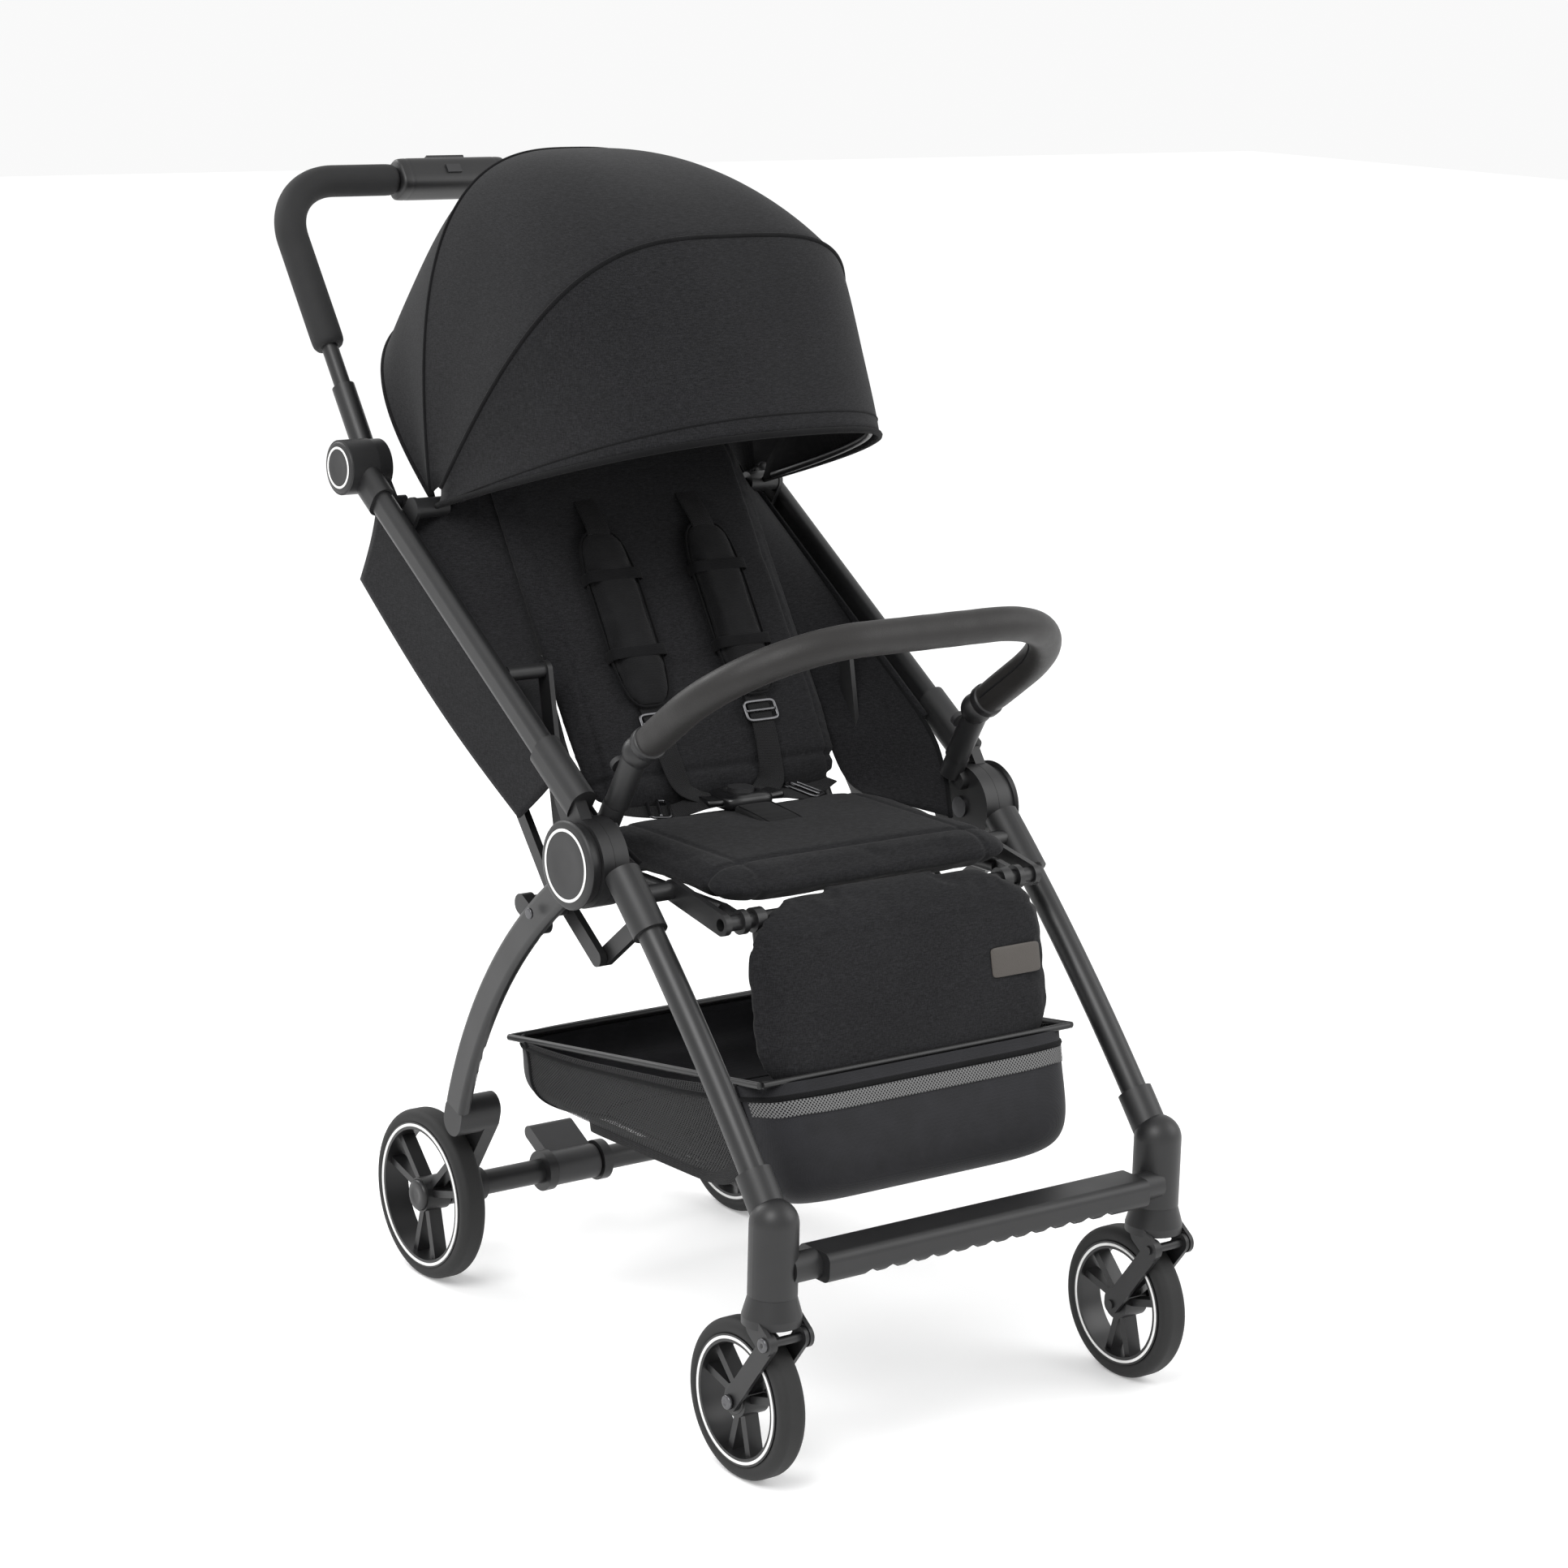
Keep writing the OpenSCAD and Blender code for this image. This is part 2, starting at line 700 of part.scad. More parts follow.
module rim(r, cap_r, bore) {
    rim_t = 7;
    spoke_w = 7;
    pair_angle = 15;
    color(charcoal) difference() {
        union() {
            difference() {
                cylinder(r = r, h = tyre_w, $fn = 96);
                translate([0, 0, -1]) cylinder(r = r - rim_t, h = tyre_w + 2, $fn = 96);
            }
            cylinder(r = cap_r, h = tyre_w);
            for (a = [0:120:359], s = [-1, 1]) rotate(a + s * pair_angle)
                translate([0, -spoke_w / 2, 6]) cube([r - 2, spoke_w, tyre_w - 12]);
        }
        translate([0, 0, -1]) cylinder(d = bore + 2 * fit_gap, h = tyre_w + 2);
    }
}

tyre_depth_rear = 12;
tyre_depth_front = 13;
module rear_wheel_part(s, kind) {
    one_side(s) wheel_at([rear_axle_y, rear_axle_z], rear_wheel_x) {
        if (kind == "tyre") tyre(rear_wheel_r, rear_wheel_r - tyre_depth_rear);
        if (kind == "rim") rim(rear_wheel_r - tyre_depth_rear, 17, bolt_d);
    }
}
module front_wheel_part(s, kind) {
    one_side(s) wheel_at(front_axle, caster_x - tyre_w / 2) {
        if (kind == "tyre") tyre(front_wheel_r, front_wheel_r - tyre_depth_front);
        if (kind == "rim") rim(front_wheel_r - tyre_depth_front, 15, bolt_d);
    }
}

module caster_head(s) {
    color(black) one_side(s) {
        difference() {
            union() {
                translate([caster_x, 0, head_bottom_z]) cylinder(d = head_d, h = head_skirt);
                translate([caster_x, 0, head_bottom_z + head_skirt])
                    cylinder(d1 = head_d, d2 = caster_housing_d - 1,
                        h = caster_seam_z - face_gap - head_bottom_z - head_skirt);
                translate([caster_x, 0, caster_seam_z - 2]) cylinder(d = stem_d, h = stem_top_z - caster_seam_z);
                for (x = [caster_x - cheek_in - arm_t, caster_x + cheek_in])
                    link(arm_pivot, [-4, head_bottom_z + 1], 20, x, arm_t);
            }
            pin(arm_pivot, caster_x - 40, caster_x + 40, link_pin_d + 2 * fit_gap);
        }
    }
}

module suspension_arm(s) {
    color(black) one_side(s) {
        for (x = [caster_x - arm_in - arm_t, caster_x + arm_in]) link(arm_pivot, front_axle, 18, x, arm_t);
        pin(arm_pivot, caster_x - cheek_in - arm_t - 2, caster_x + cheek_in + arm_t + 2, link_pin_d);
        pin(front_axle, caster_x - arm_in - arm_t - 2, caster_x + arm_in + arm_t + 2, bolt_d);
    }
}

// --- folding links -----------------------------------------------------------

module side_struts() {
    color(black) both() {
        link(strut_low, strut_high, strut_w, strut_x, strut_t);
    }
}

module front_brace_arms() {
    color(black) both() difference() {
        union() {
            link(brace_front_end, brace_knuckle, brace_w, brace_front_x, brace_t);
            pin(brace_front_end, brace_front_x + brace_t, hub_in - 1, 10);
        }
        front_leg_sweep(front_socket_d + 2 * face_gap, 0.7, 1.1);
    }
}

module rear_brace_arms() {
    color(black) both() link(brace_rear_end, brace_knuckle, brace_w, brace_rear_x, brace_t);
}

// --- handle ------------------------------------------------------------------

module handle_tube() {
    color(black) {
        difference() {
            handle_plane() u_bar(handle_x, handle_len, handle_bend, handle_d, 0, 0);
            handle_plane() u_bar(handle_x, handle_len, handle_bend, handle_d - 2 * tube_wall, -1, -1);
        }
        both() difference() {
            union() {
                side(handle_disc_x) translate(top) cylinder(r = top_r - 1, h = handle_disc_t);
                link(top, strut_high, 18, handle_disc_x, handle_disc_t);
                pin(strut_high, strut_x + strut_t + face_gap, handle_disc_x, 13);
                handle_plane() translate([handle_x, 0, 0]) rotate([-90, 0, 0]) cylinder(d = sleeve_d, h = sleeve_len);
            }
            handle_plane() u_bar(handle_x, handle_len, handle_bend, handle_d, 0, 0);
            side(top_disc_x - face_gap) translate(top) cylinder(r = top_r + 12, h = 30);
        }
        both() pin(top, top_disc_x - face_gap, top_disc_x + 12, hub_pin_d);
    }
}

module handle_grips() {
    end_gap = 1;
    color([0.13, 0.13, 0.13]) difference() {
        handle_plane() u_bar(handle_x, handle_len, handle_bend, grip_d, grip_start, control_len / 2 + end_gap);
        handle_plane() u_bar(handle_x, handle_len, handle_bend, handle_d, 0, 0);
    }
}

module control_pocket(w, len, depth) {
    translate([-len / 2, -w / 2, 0]) cube([len, w, depth]);
}

module handle_control() {
    color(black) handle_plane() translate([0, handle_len, 0]) difference() {
        translate([-control_len / 2, 0, 0]) rotate([90, 0, 90]) linear_extrude(control_len)
            rounded_rect(control_d, control_d, 14);
        rotate([0, 90, 0]) cylinder(d = handle_d, h = control_len + 2, center = true);
        translate([0, control_d / 2 - 8, 0]) rotate([-90, 0, 0])
            control_pocket(button_w + 1, button_len + 1, 10);
        translate([0, 0, control_d / 2 - 5]) control_pocket(slider_w + 1, slider_len + slider_travel + 1, 10);
    }
}

module fold_button() {
    color(charcoal) handle_plane() translate([0, handle_len + control_d / 2 - 8 + button_travel + 0.3, 0])
        rotate([-90, 0, 0]) control_pocket(button_w, button_len, 8);
}

module fold_lock_slider() {
    color(charcoal) handle_plane() translate([-slider_travel / 2, handle_len, control_d / 2 - 4.7])
        control_pocket(slider_w, slider_len, 7);
}

// --- seat --------------------------------------------------------------------

module seat_frame() {
    lug_x = seat_tube_x - seat_lug_t / 2;
    drop = 4;
    start = seat_pivot + [26, drop];
    end = [seat_frame_rear, seat_pivot[1] + drop];
    color(black) {
        both() difference() {
            union() {
                link(seat_pivot, start, seat_tube_d - 1, lug_x, seat_lug_t);
                pin(seat_pivot, lug_x, lug_x + seat_lug_t, cross_tube_d + 8);
                bar(start, end, seat_tube_x, seat_tube_d);
            }
            pin(seat_pivot, 0, side_x, cross_tube_d + 2 * fit_gap);
        }
        difference() {
            pin(end, -seat_tube_x, seat_tube_x, seat_tube_d);
            both() bar(start, end + [seat_tube_d, 0], seat_tube_x, seat_tube_d);
        }
    }
}

module seat_pad() {
    front = seat_pivot[0] + 22;
    rear = recline_pivot[0] - 22;
    bottom = seat_pivot[1] + 4 + seat_tube_d / 2 + face_gap;
    color(fabric_grey) translate([-seat_half, 0, 0]) side(0) linear_extrude(2 * seat_half)
        translate([(front + rear) / 2, bottom + seat_t / 2]) rounded_rect(rear - front, seat_t, 9);
}

seat_top_z = seat_pivot[1] + 4 + seat_tube_d / 2 + face_gap + seat_t;
crotch_y = 268;
strap_t = 4;
module crotch_strap() {
    color(black) {
        translate([-22, crotch_y, seat_top_z + face_gap]) cube([44, 92, strap_t]);
    }
}

buckle_y = 367;
module harness_buckle() {
    color(black) translate([0, buckle_y - 12, seat_top_z + face_gap + strap_t]) difference() {
        translate([-26, -24, 0]) cube([52, 44, 16]);
        translate([0, 0, 9]) cylinder(d = 26, h = 10);
    }
}

module buckle_button() {
    color(charcoal) translate([0, buckle_y - 12, seat_top_z + face_gap + strap_t + 11.5])
        cylinder(d = 25, h = 8);
}

// --- backrest ----------------------------------------------------------------

// Draws in the backrest plane: local Y runs up the backrest, local Z points to the front
module back_plane() {
    translate([0, recline_pivot[0], recline_pivot[1]]) rotate([back_slope, 0, 0]) children();
}

module backrest_frame() {
    bend = 40;
    color(black) {
        difference() {
            union() {
                back_plane() u_bar(back_tube_x, back_len - 8, bend, back_tube_d, 7, 0);
                both() pin(recline_pivot, back_tube_x - back_tube_d / 2 - 1, back_tube_x + back_tube_d / 2 + 1,
                    back_tube_d + 8);
            }
            both() pin(recline_pivot, back_tube_x - back_tube_d, side_x, link_pin_d + 2 * fit_gap);
        }
    }
}

back_pad_z = back_tube_d / 2 + face_gap;
module backrest_pad() {
    from = 30;
    color(fabric_grey) back_plane() translate([0, (from + back_len) / 2, back_pad_z])
        linear_extrude(back_pad_t) rounded_rect(2 * back_half, back_len - from, 36);
}

pad_w = 46;
module shoulder_pads() {
    from = 116;
    to = 292;
    pad_t = 11;
    color(charcoal) both() back_plane()
        translate([60, (from + to) / 2, back_pad_z + back_pad_t + 5 + face_gap])
        linear_extrude(pad_t) rounded_rect(pad_w, to - from, 20);
}

module harness_straps() {
    web_w = 25;
    web_t = 2;
    color(black) both() back_plane() translate([60 - web_w / 2, 100, back_pad_z + back_pad_t + face_gap + 2])
        cube([web_w, 200, web_t]);
}

// --- leg rest ----------------------------------------------------------------

// Draws in the leg-rest plane: local Y runs down the leg rest, local Z points to the rear
module legrest_plane() {
    translate([0, seat_pivot[0], seat_pivot[1]]) rotate([-102, 0, 0]) children();
}

module legrest_frame() {
    color(black) difference() {
        union() {
            both() {
                pin(seat_pivot, legrest_lug_x - 5, legrest_lug_x + 5, cross_tube_d + 8);
                legrest_plane() translate([legrest_lug_x, 0, 0]) rotate([-90, 0, 0])
                    cylinder(d = 9, h = legrest_len - 60);
            }
            legrest_plane() translate([-legrest_lug_x, legrest_len - 60, 0]) rotate([0, 90, 0])
                cylinder(d = 9, h = 2 * legrest_lug_x);
        }
        pin(seat_pivot, -side_x, side_x, cross_tube_d + 2 * fit_gap);
    }
}

module legrest_pad() {
    from = 16;
    corner = 40;
    color(fabric_grey) legrest_plane()
        translate([0, (from + legrest_len) / 2, -5 - face_gap - legrest_pad_t]) linear_extrude(legrest_pad_t)
            rounded_rect(2 * legrest_half, legrest_len - from, corner);
}

// --- bumper bar --------------------------------------------------------------

module bumper_frame() {
    ball_d = 30;
    color(black) {
        difference() {
            bumper_plane() u_bar(bumper_x, bumper_reach, bumper_bend, bumper_tube_d, 0, 0);
            both() translate([bumper_x, bumper_elbow[0], bumper_elbow[1]]) sphere(d = ball_d);
        }
        both() {
            translate([bumper_x, bumper_elbow[0], bumper_elbow[1]]) sphere(d = ball_d);
            difference() {
                bar(bumper_socket + face_gap * bumper_line, bumper_elbow, bumper_x + 2, connector_d);
                translate([bumper_x, bumper_elbow[0], bumper_elbow[1]]) sphere(d = ball_d);
            }
            bar(bumper_socket - plug_len * bumper_line, bumper_socket + bumper_line, bumper_x + 4, plug_d);
        }
    }
}

module bumper_sleeve() {
    color(charcoal) difference() {
        bumper_plane() u_bar(bumper_x, bumper_reach, bumper_bend, bumper_d, 18, 0);
        bumper_plane() u_bar(bumper_x, bumper_reach, bumper_bend, bumper_tube_d, 0, 0);
        both() translate([bumper_x, bumper_elbow[0], bumper_elbow[1]]) sphere(d = 31);
    }
}

module bumper_buttons() {
    mid = (bumper_elbow + bumper_socket) / 2 + 2 * bumper_line;
    off = connector_d / 2 + bumper_button_travel + face_gap;
    side_dir = [bumper_line[1], -bumper_line[0]];
    color(charcoal) both() side(bumper_x + 2) translate(mid + off * side_dir) rotate(bumper_line_slope - 90)
        rotate([0, 90, 0]) cylinder(d = 15, h = 5);
}

module placed() { translate([0, -mid_y, 0]) children(); }

placed() front_legs();
placed() front_hub_plates();
placed() hub_pins();
placed() caster_housings();
placed() footrest_bar();
placed() footrest_stubs();
placed() seat_brackets();
placed() bumper_mounts();
placed() basket_bag();
placed() basket_rim();
placed() seat_rails();
placed() rail_sockets();
placed() top_hinge_housings();
placed() recline_brackets();
placed() side_panels();
placed() canopy_clamps();
placed() canopy_rear_bow();
placed() canopy_rear_panel();
placed() canopy_middle_bow();
placed() canopy_middle_panel();
placed() canopy_front_bow();
placed() canopy_visor();
placed() rear_legs();
placed() rear_wheel_brackets();
placed() rear_axle();
placed() brake_pedal();
placed() rear_wheel_part(-1, "tyre");  // rear_wheel_right_tyre
placed() rear_wheel_part(-1, "rim");  // rear_wheel_right_rim
placed() rear_wheel_part(1, "tyre");  // rear_wheel_left_tyre
placed() rear_wheel_part(1, "rim");  // rear_wheel_left_rim
placed() front_wheel_part(-1, "tyre");  // front_wheel_right_tyre
placed() front_wheel_part(-1, "rim");  // front_wheel_right_rim
placed() front_wheel_part(1, "tyre");  // front_wheel_left_tyre
placed() front_wheel_part(1, "rim");  // front_wheel_left_rim
placed() caster_head(-1);  // caster_head_right
placed() caster_head(1);  // caster_head_left
placed() suspension_arm(-1);  // suspension_arm_right
placed() suspension_arm(1);  // suspension_arm_left
placed() side_struts();
placed() front_brace_arms();
placed() rear_brace_arms();
placed() handle_tube();
placed() handle_grips();
placed() handle_control();
placed() fold_button();
placed() fold_lock_slider();
placed() seat_frame();
placed() seat_pad();
placed() crotch_strap();
placed() harness_buckle();
placed() buckle_button();
placed() backrest_frame();
placed() backrest_pad();
placed() shoulder_pads();
placed() harness_straps();
placed() legrest_frame();
placed() legrest_pad();
placed() bumper_frame();
placed() bumper_sleeve();
placed() bumper_buttons();
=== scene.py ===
"""Compact self-folding baby stroller: soft goods, wheels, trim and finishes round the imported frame."""

import json
import logging
import math
from dataclasses import dataclass, field
from enum import Enum
from typing import Callable, Optional, Sequence

import bmesh
import bpy
import numpy as np
from mathutils import Matrix, Vector


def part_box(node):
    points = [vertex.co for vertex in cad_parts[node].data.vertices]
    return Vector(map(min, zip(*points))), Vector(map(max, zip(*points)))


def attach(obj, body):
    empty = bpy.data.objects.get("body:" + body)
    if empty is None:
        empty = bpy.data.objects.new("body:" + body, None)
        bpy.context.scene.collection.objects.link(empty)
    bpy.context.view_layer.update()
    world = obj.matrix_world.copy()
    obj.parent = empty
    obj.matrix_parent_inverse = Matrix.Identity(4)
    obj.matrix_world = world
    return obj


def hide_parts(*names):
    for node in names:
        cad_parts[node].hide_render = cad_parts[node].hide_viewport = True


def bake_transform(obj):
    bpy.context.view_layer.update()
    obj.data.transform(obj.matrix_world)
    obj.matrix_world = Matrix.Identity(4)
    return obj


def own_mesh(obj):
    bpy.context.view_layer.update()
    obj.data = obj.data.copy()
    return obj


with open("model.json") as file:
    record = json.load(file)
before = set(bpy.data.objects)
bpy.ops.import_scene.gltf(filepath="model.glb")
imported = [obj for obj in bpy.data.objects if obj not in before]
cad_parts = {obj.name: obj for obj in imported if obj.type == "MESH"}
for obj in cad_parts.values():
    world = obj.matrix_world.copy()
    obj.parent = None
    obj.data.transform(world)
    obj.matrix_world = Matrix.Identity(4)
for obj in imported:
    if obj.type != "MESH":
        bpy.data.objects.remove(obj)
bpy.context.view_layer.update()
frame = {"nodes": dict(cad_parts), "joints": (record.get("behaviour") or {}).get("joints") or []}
LOG = logging.getLogger("stroller")
Array = np.ndarray


# --- measurement of the frame ------------------------------------------------


def joint_place(name: str) -> Array:
    """Place of a joint's axis in the side plane, as (0, y, z) in metres."""
    place = np.array(next(j["pos_m"] for j in frame["joints"] if j["name"] == name), float)
    return place * [0, 1, 1]


def node_box(name: str) -> tuple[Array, Array]:
    """Lowest and highest corners of a CAD node as arrays."""
    low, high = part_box(name)
    return np.array(low), np.array(high)


TOP = joint_place("handle_fold")
RECLINE = joint_place("recline")
SEAT_HINGE = joint_place("seat_fold")
CANOPY_PIVOT = joint_place("canopy_fold")
CASTER = joint_place("caster_swivel_right")
SIDES = (-1, 1)
SIDE_NAME = {-1: "right", 1: "left"}


def slope(degrees: float) -> Array:
    """Unit vector in the side plane, rising by degrees towards the rear."""
    a = math.radians(degrees)
    return np.array([0, math.cos(a), math.sin(a)])


BACK_SLOPE = 57.0
BACK_UP = slope(BACK_SLOPE)
BACK_OUT = slope(BACK_SLOPE + 90)
LEG_DOWN = slope(-102)
LEG_OUT = slope(-192)
HANDLE_SLOPE = 54.0
BUMPER_TILT = 36.0
ACROSS = np.array([1.0, 0, 0])


# --- surfaces ----------------------------------------------------------------


def signed_power(value: Array, power: float) -> Array:
    """|value| raised to power, with the sign of value kept."""
    return np.sign(value) * np.abs(value) ** power


def superellipse(turn: Array, half_a: float, half_b: float, squareness: float) -> Array:
    """Points (a cos^(2/n), b sin^(2/n)) of a superellipse, turn in radians."""
    return np.stack([half_a * signed_power(np.cos(turn), 2 / squareness),
                     half_b * signed_power(np.sin(turn), 2 / squareness)], -1)


def ring_section(half_a: float, half_b: float, squareness: float = 2.0, count: int = 24) -> Array:
    """Closed section of a bar or strap, count points round a superellipse."""
    return superellipse(np.linspace(0, 2 * np.pi, count, endpoint=False), half_a, half_b, squareness)


def smoothstep(low: float, high: float, value: Array) -> Array:
    """0 below low, 1 above high and 3t^2 - 2t^3 between them."""
    t = np.clip((value - low) / (high - low), 0, 1)
    return t * t * (3 - 2 * t)


def resample(points: Array, count: int) -> Array:
    """count points evenly spaced by arc length along a polyline."""
    steps = np.linalg.norm(np.diff(points, axis=0), axis=1)
    run = np.concatenate([[0], np.cumsum(steps)])
    want = np.linspace(0, run[-1], count)
    return np.stack([np.interp(want, run, points[:, k]) for k in range(3)], -1)


def smooth_path(points: Sequence[Sequence[float]], count: int) -> Array:
    """Centripetal-free Catmull-Rom curve through the points, evenly resampled."""
    p = np.asarray(points, float)
    p = np.concatenate([[2 * p[0] - p[1]], p, [2 * p[-1] - p[-2]]])
    t = np.linspace(0, 1, 24)[:, None]
    runs = [0.5 * (2 * b + (c - a) * t + (2 * a - 5 * b + 4 * c - d) * t**2 + (3 * b - a - 3 * c + d) * t**3)
            for a, b, c, d in zip(p, p[1:], p[2:], p[3:])]
    return resample(np.concatenate(runs), count)


def sweep_points(path: Array, section: Array, face: Array, grow: Optional[Array] = None) -> Array:
    """Carries a section along a path.

    Args:
        path: centre line, n points.
        section: k points; the first axis lies along face x tangent, the second along face.
        face: direction that the section's second axis keeps to, one vector or n of them.
        grow: factor on the section at each path point.

    Returns:
        n x k x 3 grid, point + width * side + height * up at each station.
    """
    tangent = np.gradient(path, axis=0)
    tangent /= np.linalg.norm(tangent, axis=1)[:, None]
    face = np.broadcast_to(face, path.shape)
    up = face - (face * tangent).sum(1)[:, None] * tangent
    up /= np.linalg.norm(up, axis=1)[:, None]
    side = np.cross(tangent, up)
    scale = np.ones(len(path)) if grow is None else np.asarray(grow)
    return (path[:, None] + scale[:, None, None] * (
        section[None, :, :1] * side[:, None] + section[None, :, 1:] * up[:, None]))


def lathe_points(profile: Array, centre: Array, count: int = 96) -> Array:
    """Turns a profile (x across, radius) about an axis along X through centre."""
    turn = np.linspace(0, 2 * np.pi, count, endpoint=False)[:, None]
    x = np.broadcast_to(profile[None, :, 0], (count, len(profile)))
    r = profile[None, :, 1]
    return np.stack([x + centre[0], centre[1] + r * np.cos(turn), centre[2] + r * np.sin(turn)], -1)


def new_object(name: str, mesh: bpy.types.Mesh) -> bpy.types.Object:
    """Links a mesh to the scene under a name, shaded smooth."""
    mesh.polygons.foreach_set("use_smooth", np.ones(len(mesh.polygons), bool))
    piece = bpy.data.objects.new(name, mesh)
    bpy.context.scene.collection.objects.link(piece)
    return piece


def grid_object(name: str, grid: Array, wrap_u: bool = False, wrap_v: bool = False,
                caps: bool = False, poles: bool = False) -> bpy.types.Object:
    """Mesh of quads on a grid of points, with a UV map in metres of arc length.

    Args:
        name: the piece's name.
        grid: nu x nv x 3 points.
        wrap_u: joins the last row to the first.
        wrap_v: joins the last column to the first.
        caps: closes the first and last rows with flat faces (needs wrap_v).
        poles: says that the first and last columns are each one point, so that the piece is closed.

    Returns:
        The new object, with its faces outwards where it is closed.
    """
    nu, nv = grid.shape[:2]
    index = np.arange(nu * nv).reshape(nu, nv)
    across = np.linalg.norm(np.diff(grid, axis=1, append=grid[:, :1]), axis=2).mean(0)
    along = np.linalg.norm(np.diff(grid, axis=0, append=grid[:1]), axis=2).mean(1)
    run_u = np.concatenate([[0], np.cumsum(along)])
    run_v = np.concatenate([[0], np.cumsum(across)])
    if wrap_u:
        index = np.concatenate([index, index[:1]], 0)
    if wrap_v:
        index = np.concatenate([index, index[:, :1]], 1)
    mu, mv = index.shape[0] - 1, index.shape[1] - 1
    quads = np.stack([index[:-1, :-1], index[1:, :-1], index[1:, 1:], index[:-1, 1:]], -1).reshape(-1, 4)
    iu, iv = np.meshgrid(np.arange(mu), np.arange(mv), indexing="ij")
    uv = np.stack([np.stack([run_u[iu + a], run_v[iv + b]], -1)
                   for a, b in ((0, 0), (1, 0), (1, 1), (0, 1))], 2).reshape(-1, 2)
    faces = quads.tolist()
    if caps:
        faces += [index[0, :nv][::-1].tolist(), index[-1, :nv].tolist()]
        uv = np.concatenate([uv, np.zeros((2 * nv, 2))])
    mesh = bpy.data.meshes.new(name)
    mesh.from_pydata(grid.reshape(-1, 3).tolist(), [], faces)
    layer = mesh.uv_layers.new(name="UVMap")
    layer.data.foreach_set("uv", uv.astype(np.float32).ravel())
    if poles or wrap_v and (caps or wrap_u):
        face_outwards(mesh)
    return new_object(name, mesh)


def face_outwards(mesh: bpy.types.Mesh) -> None:
    """Merges coincident points of a mesh and turns its faces outwards."""
    work = bmesh.new()
    work.from_mesh(mesh)
    bmesh.ops.remove_doubles(work, verts=work.verts, dist=1e-6)
    bmesh.ops.recalc_face_normals(work, faces=work.faces)
    work.to_mesh(mesh)
    work.free()


def join(name: str, parts: Sequence[bpy.types.Object]) -> bpy.types.Object:
    """Makes one piece of several closed meshes, and removes the parts."""
    work = bmesh.new()
    for part in parts:
        work.from_mesh(part.data)
    mesh = bpy.data.meshes.new(name)
    work.to_mesh(mesh)
    work.free()
    for part in parts:
        bpy.data.objects.remove(part)
    return new_object(name, mesh)


def thicken(piece: bpy.types.Object, thickness: float, offset: float = 0.0) -> bpy.types.Object:
    """Gives an open sheet its cloth thickness."""
    wall = piece.modifiers.new("wall", "SOLIDIFY")
    wall.thickness = thickness
    wall.offset = offset
    return piece


def round_off(piece: bpy.types.Object, levels: int = 1) -> bpy.types.Object:
    """Smooths a piece with a subdivision surface."""
    smooth = piece.modifiers.new("smooth", "SUBSURF")
    smooth.levels = smooth.render_levels = levels
    return piece


def vertex_array(mesh: bpy.types.Mesh) -> Array:
    """Places of a mesh's vertices as an n x 3 array."""
    co = np.empty(len(mesh.vertices) * 3)
    mesh.vertices.foreach_get("co", co)
    return co.reshape(-1, 3)


def normal_array(mesh: bpy.types.Mesh) -> Array:
    """Normals at a mesh's vertices as an n x 3 array."""
    out = np.empty(len(mesh.vertices) * 3)
    mesh.vertex_normals.foreach_get("vector", out)
    return out.reshape(-1, 3)


def set_vertices(mesh: bpy.types.Mesh, places: Array) -> None:
    """Moves a mesh's vertices to the places given."""
    mesh.vertices.foreach_set("co", places.astype(np.float32).ravel())
    mesh.update()


def tube(name: str, path: Array, radius: float, face: Array = ACROSS, grow: Optional[Array] = None,
         count: int = 20) -> bpy.types.Object:
    """Round bar along a path, closed at both ends."""
    return grid_object(name, sweep_points(path, ring_section(radius, radius, count=count), face, grow),
                       wrap_v=True, caps=True)


def strap(name: str, path: Array, width: float, thick: float, face: Array) -> bpy.types.Object:
    """Flat webbing along a path, its flat side towards face."""
    return grid_object(name, sweep_points(path, ring_section(width / 2, thick / 2, 5, 16), face),
                       wrap_v=True, caps=True)


@dataclass(frozen=True)
class Cut:
    """The flat size that a sheet was cut to.

    Args:
        width: width of the smallest rectangle round the cut, in metres; not used.
        length: length of that rectangle, in metres; not used.
        share: how much of the rectangle the cut fills; not used.
    """

    width: float
    length: float
    share: float = 1.0


# Flat cuts of the bag's cloths, worked out from its wall heights, rim lengths and the part of the floor that each piece
# turns under.
BASKET_FRONT_CUT = Cut(0.43, 0.185, 0.86)
BASKET_REAR_CUT = Cut(0.43, 0.125, 0.84)
BASKET_SIDE_CUT = Cut(0.355, 0.14, 0.87)
BASKET_FLOOR_CUT = Cut(0.24, 0.31, 0.97)


def finish_modifiers(piece: bpy.types.Object) -> None:
    """Applies every modifier of a piece to its mesh."""
    graph = bpy.context.evaluated_depsgraph_get()
    mesh = bpy.data.meshes.new_from_object(piece.evaluated_get(graph))
    piece.modifiers.clear()
    old = piece.data
    piece.data = mesh
    bpy.data.meshes.remove(old)


# --- finishes ----------------------------------------------------------------


class Coordinates(Enum):
    """What a pattern follows."""

    OBJECT = "Object"
    SURFACE = "UV"


